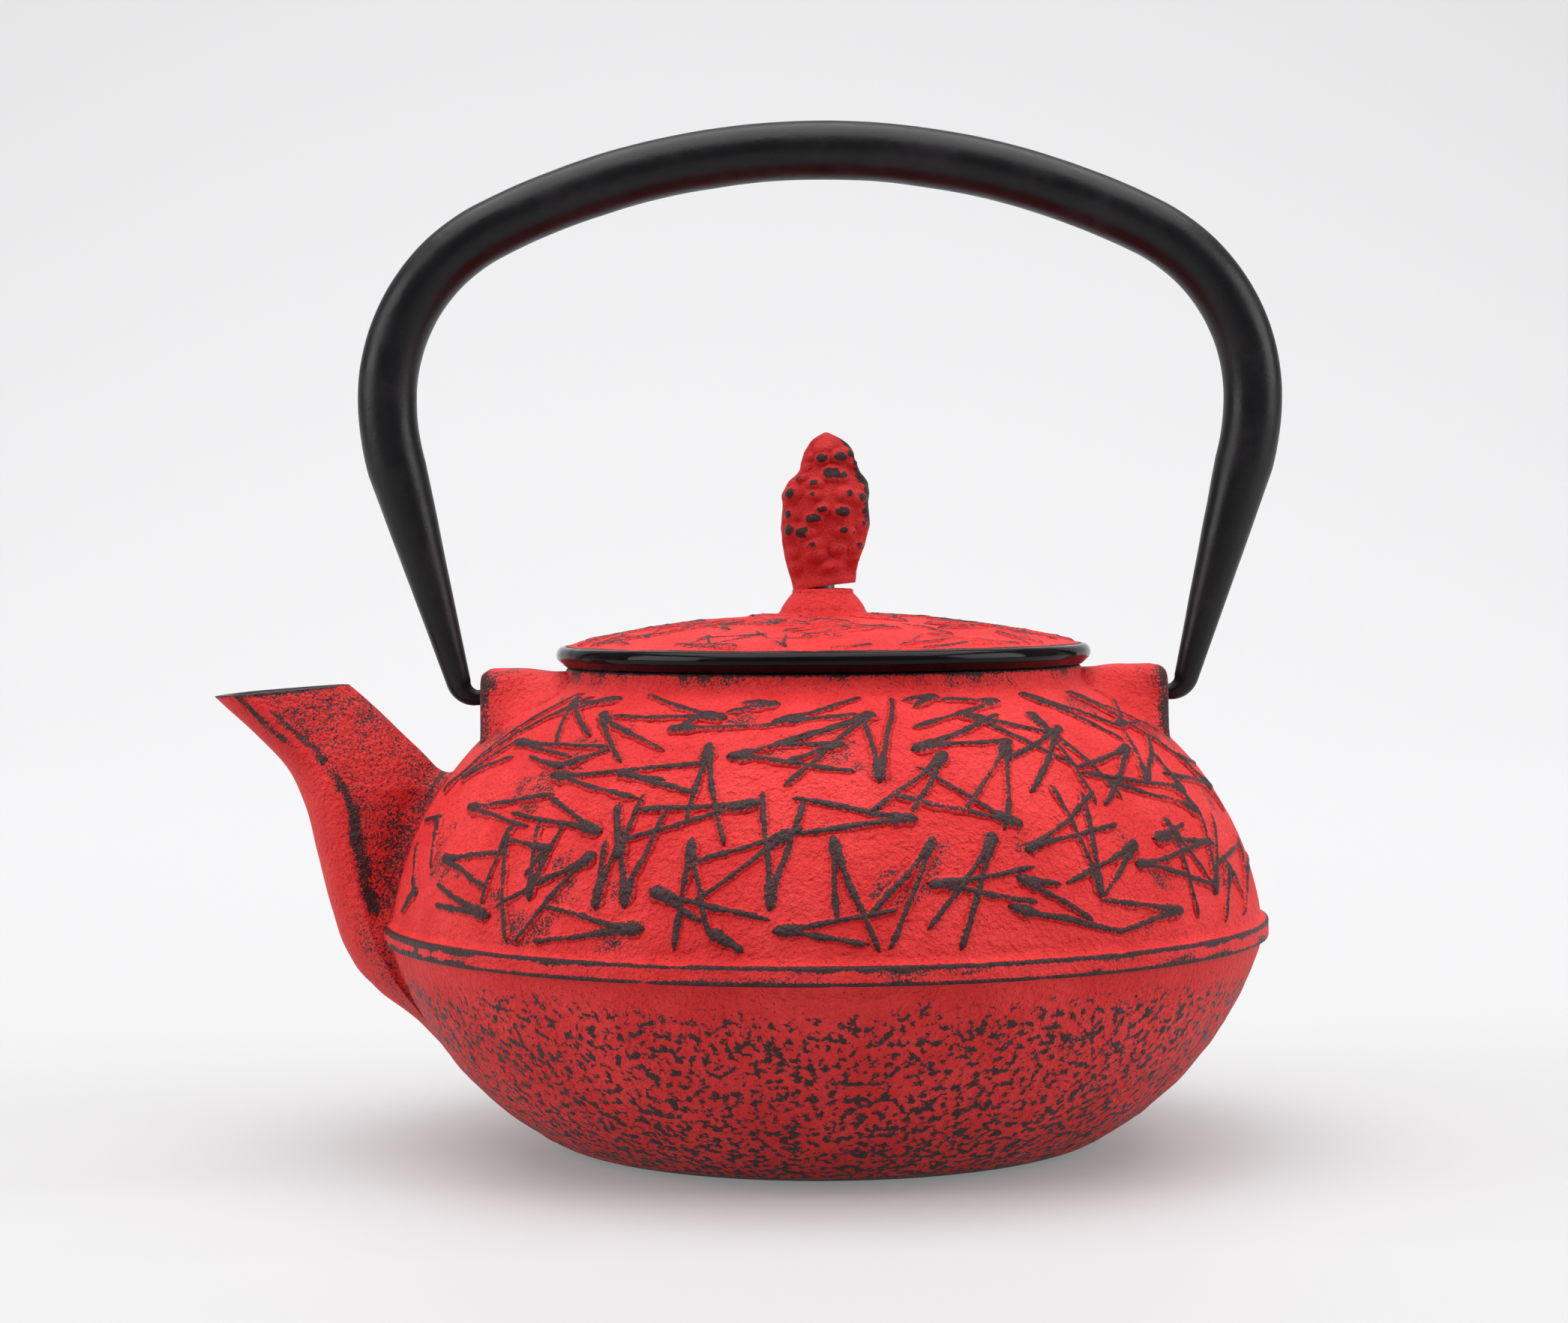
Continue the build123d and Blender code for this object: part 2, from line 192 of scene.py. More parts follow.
def arc(points: Sequence[Spot], count: int) -> Array:
    """Evenly spaced points of the circle arc through three points.

    Args:
        points: start, a point on the way and the end, each (radius, height).
        count: how many points to give.

    Returns:
        The points, one row each.
    """
    (ax, ay), (bx, by), (cx, cy) = points
    d = 2 * (ax * (by - cy) + bx * (cy - ay) + cx * (ay - by))
    a2, b2, c2 = ax * ax + ay * ay, bx * bx + by * by, cx * cx + cy * cy
    ux = (a2 * (by - cy) + b2 * (cy - ay) + c2 * (ay - by)) / d
    uy = (a2 * (cx - bx) + b2 * (ax - cx) + c2 * (bx - ax)) / d
    radius = math.hypot(ax - ux, ay - uy)
    start, middle, end = (math.atan2(y - uy, x - ux) for x, y in points)
    turn = (end - start) % math.tau
    if (middle - start) % math.tau > turn:
        turn -= math.tau
    angles = start + turn * np.linspace(0, 1, count)
    return np.stack([ux + radius * np.cos(angles), uy + radius * np.sin(angles)], axis=1)


def line(start: Spot, end: Spot, count: int) -> Array:
    """Evenly spaced points of a straight run, both ends included."""
    share = np.linspace(0, 1, count)[:, None]
    return np.array(start) * (1 - share) + np.array(end) * share


def join_runs(runs: list[Array]) -> Array:
    """One outline from runs that follow each other, without repeated points.

    Args:
        runs: point lists, each starting near where the last one ended.

    Returns:
        All points in order.
    """
    points = np.concatenate(runs)
    return points[np.concatenate([[True], step_lengths(points) > TINY])]


def smooth_curve(x: Array, xs: Sequence[float], ys: Sequence[float]) -> Array:
    """Curve through a few points: cubic pieces whose slopes follow the neighbours' chord.

    Args:
        x: where to read the curve.
        xs: places of the points, rising.
        ys: values at the points.

    Returns:
        The curve's values at x.
    """
    px, py = np.array(xs), np.array(ys)
    slope = np.gradient(py, px)
    k = np.clip(np.searchsorted(px, x) - 1, 0, len(px) - 2)
    span = px[k + 1] - px[k]
    t = np.clip((x - px[k]) / span, 0, 1)
    first = (1 + 2 * t) * (1 - t) ** 2 * py[k] + t * (1 - t) ** 2 * span * slope[k]
    return first + t * t * (3 - 2 * t) * py[k + 1] + t * t * (t - 1) * span * slope[k + 1]


def outline_normals(points: Array) -> Array:
    """Unit normals of an outline, to the right of its direction.

    Args:
        points: the outline, one point a row.

    Returns:
        One (radius, height) normal for each point.
    """
    along = np.gradient(points, axis=0)
    length = np.linalg.norm(along, axis=1, keepdims=True)
    along = along / np.maximum(length, 1e-9)
    return np.stack([along[:, 1], -along[:, 0]], axis=1)


def turned(outline: Array, columns: int) -> Array:
    """Carry a (radius, height) outline round the Z axis.

    Args:
        outline: points, one row each.
        columns: how many steps round.

    Returns:
        Points of shape (rows, columns, 3): (r cos a, r sin a, z).
    """
    angle = round_angles(columns)
    radius = outline[:, :1]
    height = np.repeat(outline[:, 1:], columns, axis=1)
    return np.stack([radius * np.cos(angle), radius * np.sin(angle), height], axis=-1)


def fillet(gap: Array, radius: float) -> Array:
    """Sideways spread of a concave quarter round: radius at gap 0, nothing past the radius."""
    left = radius - np.clip(gap, 0.0, radius)
    return radius - np.sqrt(radius * radius - left * left)


@dataclass
class Skin:
    """Closed tube-like surfaces: rings in order, drawn together to a pole at each end.

    Fields:
        rings: points of shape (tubes, rows, columns, 3), in millimetres.
        rub: how far the paint is rubbed off at each point, 0 to 1, same shape without xyz; on the
            pot's collar it also carries painted shade.
        pebble: share of pebbled texture at each point, or None for none.
        start: pole before the first ring of each tube, or None for the ring's middle.
        end: pole after the last ring of each tube, or None for the ring's middle.
        row_finish: index of the finish of each row of faces, or None where there is one finish.
    """

    rings: Array
    rub: Array
    start: Array | None = None
    end: Array | None = None
    row_finish: Array | None = None
    pebble: Array | None = None

    def faces(self) -> tuple[Array, Array]:
        """Quads between rings and triangles to the poles.

        Returns:
            Quads of shape (n, 4) and triangles of shape (m, 3), as point numbers.
        """
        tubes, rows, columns = self.rings.shape[:3]
        size = rows * columns + 2
        row = np.arange(rows - 1)[:, None] * columns
        column = np.arange(columns)[None, :]
        after = (column + 1) % columns
        below = row + columns
        quads = np.stack([row + column, row + after, below + after, below + column], -1)
        first = rows * columns
        last_row = (rows - 1) * columns
        around, follow = column[0], after[0]
        start = np.stack([np.full(columns, first), follow, around], -1)
        end = np.stack([np.full(columns, first + 1), last_row + around, last_row + follow], -1)
        shift = (np.arange(tubes) * size)[:, None, None]
        quads = (quads.reshape(1, -1, 4) + shift).reshape(-1, 4)
        triangles = (np.concatenate([start, end])[None] + shift).reshape(-1, 3)
        return quads, triangles

    def points(self) -> Array:
        """All points in one list.

        Returns:
            Points of shape (n, 3), tube by tube, the two poles last in each tube.
        """
        tubes = self.rings.shape[0]
        start = self.rings[:, 0].mean(axis=1) if self.start is None else self.start
        end = self.rings[:, -1].mean(axis=1) if self.end is None else self.end
        body = self.rings.reshape(tubes, -1, 3)
        return np.concatenate([body, start[:, None], end[:, None]], axis=1).reshape(-1, 3)

    def with_poles(self, values: Array) -> Array:
        """Put numbers of the rings in the order of points().

        Args:
            values: one number for each point of the rings.

        Returns:
            One number a point; the poles take their ring's mean.
        """
        tubes = self.rings.shape[0]
        first = values[:, 0].mean(axis=1, keepdims=True)
        last = values[:, -1].mean(axis=1, keepdims=True)
        return np.concatenate([values.reshape(tubes, -1), first, last], axis=1).reshape(-1)


def signed_volume(places: Array, quads: Array, triangles: Array) -> float:
    """Volume inside a closed surface: the sum of the tetrahedra from the origin to its faces.

    Args:
        places: all points.
        quads: four point numbers a row.
        triangles: three point numbers a row.

    Returns:
        The volume, negative when the faces look inwards.
    """
    halves = np.concatenate([quads[:, :3], quads[:, [0, 2, 3]], triangles])
    a, b, c = (places[halves[:, i]] for i in range(3))
    return float(np.einsum("ij,ij->i", a, np.cross(b, c)).sum() / 6)


def make_piece(name: str, skin: Skin, finishes: list[Material]) -> Piece:
    """Make a Blender object from a skin, faces outwards, with its rub attribute.

    Args:
        name: name of the piece.
        skin: its closed surfaces.
        finishes: materials, in the order that row_finish counts them.

    Returns:
        The object, at the origin, with its place in its mesh.
    """
    places = skin.points()
    quads, triangles = skin.faces()
    if signed_volume(places, quads, triangles) < 0:
        quads, triangles = quads[:, ::-1], triangles[:, ::-1]
    mesh = bpy.data.meshes.new(name)
    mesh.from_pydata((places * MM).tolist(), [], quads.tolist() + triangles.tolist())
    mesh.polygons.foreach_set("use_smooth", np.ones(len(mesh.polygons), bool))
    for layer, values in (("rub", skin.rub), ("pebble", skin.pebble)):
        if values is not None:
            data = mesh.attributes.new(layer, "FLOAT", "POINT").data
            data.foreach_set("value", skin.with_poles(values).astype(np.float32))
    for finish in finishes:
        mesh.materials.append(finish)
    if skin.row_finish is not None:
        tubes, _, columns = skin.rings.shape[:3]
        per_quad = np.tile(np.repeat(skin.row_finish, columns), tubes)
        ends = np.repeat([skin.row_finish[0], skin.row_finish[-1]], columns)
        index = np.concatenate([per_quad, np.tile(ends, tubes)])
        mesh.polygons.foreach_set("material_index", index.astype(np.int32))
    mesh.update()
    piece = bpy.data.objects.new(name, mesh)
    bpy.context.scene.collection.objects.link(piece)
    return piece


def carried(path: Array, side: Array, up: Array, across: Array, rise: Array) -> Array:
    """Carry a section along a path: place plus side times across plus up times rise.

    Args:
        path: (..., rows, 3) centreline.
        side: (..., rows, 3) unit vector across the path.
        up: (..., rows, 3) unit vector square to both.
        across: (..., rows, columns) offsets along side.
        rise: (..., rows, columns) offsets along up.

    Returns:
        Rings of shape (..., rows, columns, 3).
    """
    return (
        path[..., None, :]
        + side[..., None, :] * across[..., None]
        + up[..., None, :] * rise[..., None]
    )


# ---------------------------------------------------------------- finishes
class NodeSheet:
    """Node tree of one material, with short calls for the nodes used here."""

    def __init__(self, name: str) -> None:
        """Start an empty material with a Principled shader.

        Args:
            name: name of the material.
        """
        self.material = bpy.data.materials.new(name)
        self.material.use_nodes = True
        self.tree = self.material.node_tree
        self.tree.nodes.clear()
        self.shader = self.tree.nodes.new("ShaderNodeBsdfPrincipled")
        output = self.tree.nodes.new("ShaderNodeOutputMaterial")
        self.tree.links.new(self.shader.outputs[0], output.inputs["Surface"])
        self.place = self.tree.nodes.new("ShaderNodeTexCoord").outputs["Object"]

    def put(self, socket: Socket, value: object) -> None:
        """Link a socket or set its constant.

        Args:
            socket: the input to feed.
            value: another node's socket to link, or a constant.
        """
        if isinstance(value, Socket):
            self.tree.links.new(value, socket)
        else:
            socket.default_value = value

    def stretched(self, scale: tuple[float, float, float]) -> Socket:
        """Object coordinates, scaled per axis.

        Args:
            scale: factor along x, y and z.

        Returns:
            The coordinate socket.
        """
        node = self.tree.nodes.new("ShaderNodeMapping")
        self.put(node.inputs["Vector"], self.place)
        node.inputs["Scale"].default_value = scale
        return node.outputs[0]

    def noise(self, size: float, detail: float = 2.0, rough: float = 0.5,
              place: Socket | None = None) -> Socket:
        """Fractal noise with features of about size millimetres, 0 to 1.

        Args:
            size: feature size in millimetres.
            detail: finer layers.
            rough: strength of the finer layers.
            place: coordinates, or None for the object's own.

        Returns:
            The noise value socket.
        """
        node = self.tree.nodes.new("ShaderNodeTexNoise")
        self.put(node.inputs["Vector"], place or self.place)
        node.inputs["Scale"].default_value = 1.0 / (size * MM)
        node.inputs["Detail"].default_value = detail
        node.inputs["Roughness"].default_value = rough
        return node.outputs["Fac"]

    def pits(self, size: float) -> Socket:
        """Distance to scattered points, for small casting pores.

        Args:
            size: distance between the points in millimetres.

        Returns:
            The distance socket, 0 in the middle of a pore.
        """
        node = self.tree.nodes.new("ShaderNodeTexVoronoi")
        self.put(node.inputs["Vector"], self.place)
        node.inputs["Scale"].default_value = 1.0 / (size * MM)
        return node.outputs["Distance"]

    def attribute(self, name: str) -> Socket:
        """A float attribute of the mesh.

        Args:
            name: name of the attribute.

        Returns:
            Its value socket.
        """
        node = self.tree.nodes.new("ShaderNodeAttribute")
        node.attribute_name = name
        return node.outputs["Fac"]

    def math(self, kind: str, a: object, b: object) -> Socket:
        """One Math node.

        Args:
            kind: its operation.
            a: first socket or number.
            b: second socket or number.

        Returns:
            The result socket.
        """
        node = self.tree.nodes.new("ShaderNodeMath")
        node.operation = kind
        self.put(node.inputs[0], a)
        self.put(node.inputs[1], b)
        return node.outputs[0]

    def step(self, value: Socket, low: float, high: float,
             to_low: float = 0.0, to_high: float = 1.0) -> Socket:
        """Smooth map of a value from low..high to to_low..to_high.

        Args:
            value: socket to map.
            low: value that gives to_low.
            high: value that gives to_high.
            to_low: result at low.
            to_high: result at high.

        Returns:
            The mapped socket.
        """
        node = self.tree.nodes.new("ShaderNodeMapRange")
        node.interpolation_type = "SMOOTHSTEP"
        self.put(node.inputs["Value"], value)
        node.inputs["From Min"].default_value = low
        node.inputs["From Max"].default_value = high
        node.inputs["To Min"].default_value = to_low
        node.inputs["To Max"].default_value = to_high
        return node.outputs["Result"]

    def mix(self, share: object, first: object, second: object) -> Socket:
        """Colour mix.

        Args:
            share: 0 for the first colour, 1 for the second.
            first: socket or colour.
            second: socket or colour.

        Returns:
            The mixed colour socket.
        """
        node = self.tree.nodes.new("ShaderNodeMix")
        node.data_type = "RGBA"
        self.put(node.inputs[0], share)
        colours = [s for s in node.inputs if s.type == "RGBA"]
        for socket, value in zip(colours, (first, second)):
            self.put(socket, (*value, 1.0) if isinstance(value, tuple) else value)
        return [s for s in node.outputs if s.type == "RGBA"][0]

    def bump(self, height: Socket, depth: float, strength: float = 1.0,
             under: Socket | None = None) -> Socket:
        """Bump of depth millimetres for a height of 1, on top of another normal.

        Args:
            height: height socket, 0 to 1.
            depth: millimetres for a height of 1.
            strength: share of the effect.
            under: normal to build on.

        Returns:
            The normal socket.
        """
        node = self.tree.nodes.new("ShaderNodeBump")
        node.inputs["Strength"].default_value = strength
        node.inputs["Distance"].default_value = depth * MM
        self.put(node.inputs["Height"], height)
        if under is not None:
            self.put(node.inputs["Normal"], under)
        return node.outputs[0]


@dataclass(frozen=True)
class RubbedPaint:
    """Matt paint over sand-cast iron, rubbed through to dark iron where the rub attribute is high;
    on the pot's collar that dark colour is painted shade.

    Fields:
        name: material name.
        bright: paint where it is thickest.
        deep: paint where it is thin.
        iron: bare rubbed iron.
        dull: bare iron with a bloom of paint dust on it.
        grain: size of the sand grain.
        speck: size of the ragged edge of a rubbed spot.
        ragged: how far the edge of a rubbed spot wanders.
        grain_depth: depth of the grain.
        pebble: size of the hammered pebbles.
        pebble_depth: depth of the hammering.
        cloud: size of the slow changes between bright and deep paint.
        pore: distance between casting pores.
        swell: size of the slow swells.
        swell_depth: depth of the swells.
        film: thickness of the paint film at a rubbed edge.
        paint_rough: roughness of the paint.
        iron_rough: roughness of the rubbed iron.
        gloss: specular level of both.
    """

    name: str
    bright: Colour = (0.74, 0.032, 0.032)
    deep: Colour = (0.62, 0.013, 0.014)
    iron: Colour = (0.027, 0.0085, 0.010)
    dull: Colour = (0.060, 0.019, 0.022)
    grain: float = 0.80
    speck: float = 0.42
    ragged: float = 1.85
    grain_depth: float = 0.75
    pebble: float = 1.25
    pebble_depth: float = 0.50
    cloud: float = 14.0
    pore: float = 2.1
    swell: float = 2.1
    swell_depth: float = 0.80
    film: float = 0.05
    paint_rough: float = 0.60
    iron_rough: float = 0.46
    gloss: float = 0.28

    def build(self) -> Material:
        """Make the material.

        Returns:
            Paint colour from slow noise, iron colour and roughness from rub plus fine noise,
            bump from sand grain, slow swells and pores.  Where the pebble attribute is set,
            one noise gives both the hammered bumps and the paint rubbed off their tops.
        """
        sheet = NodeSheet(self.name)
        inputs = sheet.shader.inputs
        speck = sheet.noise(self.speck, 3.0, 0.68)
        wander = sheet.math("MULTIPLY", sheet.math("SUBTRACT", speck, 0.5), self.ragged)
        zone = sheet.attribute("pebble")
        hammered = sheet.noise(self.pebble, 1.0, 0.45)
        tops = sheet.math("MULTIPLY", sheet.step(hammered, 0.32, 0.76, 0.02, 0.92), zone)
        worn = sheet.math("MAXIMUM", sheet.attribute("rub"), tops)
        rubbed = sheet.step(sheet.math("ADD", worn, wander), 0.45, 0.55)
        slow = sheet.noise(self.cloud, 3.0, 0.55)
        grain = sheet.noise(self.grain, 3.0, 0.65)
        paint = sheet.mix(sheet.step(slow, 0.35, 0.65), self.bright, self.deep)
        dusty = sheet.mix(sheet.step(grain, 0.38, 0.62, 0.55, 0.0), paint, self.deep)
        pore = sheet.step(sheet.pits(self.pore), 0.05, 0.10, 0.8, 0.0)
        pored = sheet.mix(pore, dusty, self.iron)
        bare = sheet.mix(sheet.step(speck, 0.4, 0.7), self.iron, self.dull)
        sheet.put(inputs["Base Color"], sheet.mix(rubbed, pored, bare))
        rough = sheet.mix(rubbed, (self.paint_rough,) * 3, (self.iron_rough,) * 3)
        sheet.put(inputs["Roughness"], rough)
        inputs["Specular IOR Level"].default_value = self.gloss
        normal = sheet.bump(sheet.noise(self.swell, 3.0, 0.6), self.swell_depth)
        normal = sheet.bump(sheet.math("MULTIPLY", hammered, zone), self.pebble_depth, 1.0, normal)
        normal = sheet.bump(grain, self.grain_depth, 1.0, normal)
        normal = sheet.bump(rubbed, self.film, 0.6, normal)
        sheet.put(inputs["Normal"], normal)
        return sheet.material


@dataclass(frozen=True)
class GlossEnamel:
    """Thick black enamel with soft waves and a few dull spots.

    Fields:
        name: material name.
        colour: where the enamel is thick.
        thin: where it is thin.
        clear: roughness of the clearest gloss.
        dull: roughness of the dull spots.
        gloss: specular level.
        wave_depth: depth of the long waves.
        dimple_depth: depth of the small dimples.
    """

    name: str
    colour: Colour = (0.003, 0.002, 0.003)
    thin: Colour = (0.007, 0.004, 0.005)
    clear: float = 0.08
    dull: float = 0.24
    gloss: float = 0.14
    wave_depth: float = 0.10
    dimple_depth: float = 0.010

    def build(self) -> Material:
        """Make the material.

        Returns:
            Near black, with roughness from noise and long shallow waves as bump.
        """
        sheet = NodeSheet(self.name)
        inputs = sheet.shader.inputs
        cloudy = sheet.noise(6.0, 3.0, 0.6)
        sheet.put(inputs["Base Color"], sheet.mix(cloudy, self.colour, self.thin))
        spots = sheet.noise(3.0, 4.0, 0.6)
        sheet.put(inputs["Roughness"], sheet.step(spots, 0.3, 0.8, self.clear, self.dull))
        inputs["Specular IOR Level"].default_value = self.gloss
        normal = sheet.bump(sheet.noise(4.5, 1.0, 0.4), self.wave_depth)
        normal = sheet.bump(sheet.noise(0.9, 2.0, 0.5), self.dimple_depth, 1.0, normal)
        sheet.put(inputs["Normal"], normal)
        return sheet.material


@dataclass(frozen=True)
class SatinBlack:
    """Black paint on drawn steel tube: orange-peel, dust and worn lighter patches.

    Fields:
        name: material name.
        colour: sound paint.
        worn: paint worn by the hand.
        dust: specks of dust in it.
        clear: roughness where it is smoothest.
        dull: roughness where it is worn.
        gloss: specular level.
        wave_depth: depth of the slow waves.
        peel_depth: depth of the orange-peel.
    """

    name: str
    colour: Colour = (0.0045, 0.004, 0.005)
    worn: Colour = (0.012, 0.010, 0.012)
    dust: Colour = (0.07, 0.065, 0.07)
    clear: float = 0.30
    dull: float = 0.42
    gloss: float = 0.26
    wave_depth: float = 0.10
    peel_depth: float = 0.035

    def build(self) -> Material:
        """Make the material.

        Returns:
            Colour and roughness from slow noise, specks of dust and fine peel bump.
        """
        sheet = NodeSheet(self.name)
        inputs = sheet.shader.inputs
        slow = sheet.noise(9.0, 4.0, 0.6)
        specks = sheet.step(sheet.noise(0.5, 3.0, 0.7), 0.68, 0.78, 0.0, 0.5)
        base = sheet.mix(sheet.step(slow, 0.5, 0.75), self.colour, self.worn)
        sheet.put(inputs["Base Color"], sheet.mix(specks, base, self.dust))
        sheet.put(inputs["Roughness"], sheet.step(slow, 0.3, 0.7, self.clear, self.dull))
        inputs["Specular IOR Level"].default_value = self.gloss
        normal = sheet.bump(sheet.noise(5.0, 2.0, 0.5), self.wave_depth)
        normal = sheet.bump(sheet.noise(0.7, 3.0, 0.6), self.peel_depth, 1.0, normal)
        sheet.put(inputs["Normal"], normal)
        return sheet.material


@dataclass(frozen=True)
class Steel:
    """Bare steel: pressed sheet, drawn wire or a peened rivet.

    Fields:
        name: material name.
        colour: polished steel.
        low: roughness where it is polished.
        high: roughness where it is dull.
        dull: share of the colour that dull steel keeps.
        line_depth: depth of the drawn lines.
    """

    name: str
    colour: Colour = (0.55, 0.54, 0.53)
    low: float = 0.22
    high: float = 0.42
    dull: float = 0.72
    line_depth: float = 0.012

    def build(self) -> Material:
        """Make the material.

        Returns:
            Metal with fine drawn lines and uneven polish.
        """
        sheet = NodeSheet(self.name)
        inputs = sheet.shader.inputs
        slow = sheet.noise(7.0, 3.0, 0.6)
        fine = sheet.noise(0.35, 3.0, 0.6, sheet.stretched((1.0, 1.0, 6.0)))
        dull = tuple(self.dull * channel for channel in self.colour)
        sheet.put(inputs["Base Color"], sheet.mix(sheet.step(slow, 0.4, 0.7), self.colour, dull))
        sheet.put(inputs["Roughness"], sheet.step(slow, 0.3, 0.7, self.low, self.high))
        inputs["Metallic"].default_value = 1.0
        sheet.put(inputs["Normal"], sheet.bump(fine, self.line_depth))
        return sheet.material


@dataclass(frozen=True)
class StudioPaper:
    """Pale seamless paper under and behind the object.

    Fields:
        name: material name.
        colour: the paper.
        glow: strength of the light the paper gives off itself, which lightens the shadows cast on
            it; it is no lamp.
        glow_colour: colour of that light.
        tooth: share of the colour left in the hollows of its tooth.
        rough: roughness.
        gloss: specular level.
    """

    name: str
    colour: Colour = (0.365, 0.365, 0.37)
    glow: float = 0.20
    glow_colour: Colour = (1.0, 0.995, 1.0)
    tooth: float = 0.985
    rough: float = 0.55
    gloss: float = 0.35

    def build(self) -> Material:
        """Make the material.

        Returns:
            A pale sheet with a faint tooth that glows a little, as painted light that lightens its
            shadows.
        """
        sheet = NodeSheet(self.name)
        inputs = sheet.shader.inputs
        # painted light: the paper emits light of its own, which fills in the shadows on it
        inputs["Emission Color"].default_value = (*self.glow_colour, 1.0)
        inputs["Emission Strength"].default_value = self.glow
        darker = tuple(self.tooth * channel for channel in self.colour)
        tooth = sheet.noise(2.0, 2.0, 0.5)
        sheet.put(inputs["Base Color"], sheet.mix(tooth, self.colour, darker))
        inputs["Roughness"].default_value = self.rough
        inputs["Specular IOR Level"].default_value = self.gloss
        return sheet.material


# ---------------------------------------------------------------- pot casting
@dataclass
class PotCasting:
    """The turned pot: bowl, belt, shoulder, mouth and inside.

    Fields:
        belt_radius: outer radius of the belt, from the frame.
        mouth_top: height of the mouth's rim, from the frame.
        columns: steps round.
        base_radius: radius of the flat base.
        wall: thickness of the floor.
        bowl: (radius, height) guides of the bowl's arc, from foot to belt.
        shoulder: the same for the shoulder, from belt to collar.
        inner_bowl: the same inside the bowl.
        inner_shoulder: the same inside the shoulder.
        belt_low: lower edge of the belt.
        belt_high: its upper edge.
        mouth_outer: outer radius of the mouth's collar.
        rim_outer: outer radius of the flat rim.
        recess_radius: radius of the recess for the basket's flange.
        recess_floor: height of its ledge.
        neck_radius: radius of the neck under the ledge.
        inner_floor: radius of the flat floor inside.
        lump_depth: height of the cast lumps of the bowl.
        swell_depth: height of the slow swells of the whole skin.
        pebble_top: height where the bowl's pebbling ends.
        pebble_fade: how far below that it is full.
        belt_wear: rubbing of the belt's face, and more towards its ends.
        patch_wear: rubbing of the patches on the wall.
        collar_wear: heights between which the specks of the collar begin.
    """

    belt_radius: float
    mouth_top: float
    columns: int = 520
    base_radius: float = 40.5
    wall: float = 3.0
    bowl: tuple[Spot, ...] = ((46.6, 1.3), (62.0, 13.4), (73.9, 34.8))
    shoulder: tuple[Spot, ...] = ((73.5, 40.0), (66.7, 58.2), (45.8, 77.4))
    inner_bowl: tuple[Spot, ...] = ((44.2, 4.4), (59.6, 15.2), (70.8, 35.3))
    inner_shoulder: tuple[Spot, ...] = ((70.8, 38.3), (64.2, 56.5), (44.2, 74.7))
    belt_low: float = 35.1
    belt_high: float = 38.1
    mouth_outer: float = 43.8
    rim_outer: float = 43.1
    recess_radius: float = 40.2
    recess_floor: float = 77.8
    neck_radius: float = 37.2
    inner_floor: float = 41.2
    lump_depth: float = 0.14
    swell_depth: float = 0.16
    pebble_top: float = 35.6
    pebble_fade: float = 7.6
    belt_wear: Spot = (0.47, 0.20)
    patch_wear: float = 0.49
    collar_wear: Spot = (76.4, 79.6)

    def wall_radius(self, height: Array) -> Array:
        """Outer radius of the plain wall at a height, belt left out."""
        outline = np.concatenate([arc(self.bowl, 80), arc(self.shoulder, 80)])
        return np.interp(height, outline[:, 1], outline[:, 0])

    def outer_outline(self) -> Array:
        """Outer profile: lines and arcs joined end to end.

        Returns:
            (radius, height) points from the middle of the base up to the mouth's rim.
        """
        belt = self.belt_radius
        low, high = self.belt_low, self.belt_high
        return join_runs([
            line((1.0, 0.0), (self.base_radius, 0.0), 6),
            arc([(self.base_radius, 0.0), (43.6, 0.33), self.bowl[0]], 6),
            arc(self.bowl, 60),
            arc([self.bowl[2], (74.2, 34.95), (belt - 0.25, low)], 3),
            arc([(belt - 0.25, low), (belt - 0.07, low + 0.1), (belt, low + 0.35)], 3),
            line((belt, low + 0.35), (belt, high - 0.3), 6),
            arc([(belt, high - 0.3), (belt - 0.05, high - 0.08), (belt - 0.22, high)], 3),
            arc([(belt - 0.22, high), (73.85, 38.75), self.shoulder[0]], 6),
            arc(self.shoulder, 40),
            arc([self.shoulder[2], (44.35, 78.45), (self.mouth_outer, 79.7)], 6),
            arc([(self.mouth_outer, 79.7), (43.65, 80.5), (self.rim_outer, self.mouth_top)], 4),
        ])

    def inner_outline(self) -> Array:
        """Inner profile: over the ledge, down the neck and round the bowl.

        Returns:
            (radius, height) points from the mouth's rim to the middle of the floor.
        """
        recess, ledge, neck = self.recess_radius, self.recess_floor, self.neck_radius
        ceiling = self.inner_shoulder[2]
        return join_runs([
            line((self.rim_outer, self.mouth_top), (recess + 0.4, self.mouth_top), 2),
            line((recess, self.mouth_top - 0.4), (recess, ledge), 3),
            line((recess, ledge), (neck, ledge), 2),
            line((neck, ledge - 0.2), (neck, ceiling[1] + 0.2), 3),
            line((neck, ceiling[1]), ceiling, 2),
            arc(self.inner_shoulder[::-1], 12),
            arc(self.inner_bowl[::-1], 14),
            line((self.inner_floor, self.wall), (1.0, self.wall), 4),
        ])

    def rub_field(self, points: Array) -> Array:
        """Where the paint of the turned skin is rubbed off or darkened as painted shade, the
        pebbled bowl left out.

        Args:
            points: places on the outside, in millimetres.

        Returns:
            0 for sound paint to 1 for bare iron: the two edges of the belt, specks under the
            lid, a band of painted shade on the collar's top under the lid's overhang, worn patches
            on the wall, and a darker band round the lowest 2 mm of the base.
        """
        height = points[..., 2]
        collar_noise = lattice_noise(points, 7.0, 22) + lattice_noise(points, 1.7, 26)
        collar = smooth_step(height, *self.collar_wear) * (0.38 + 0.24 * collar_noise)
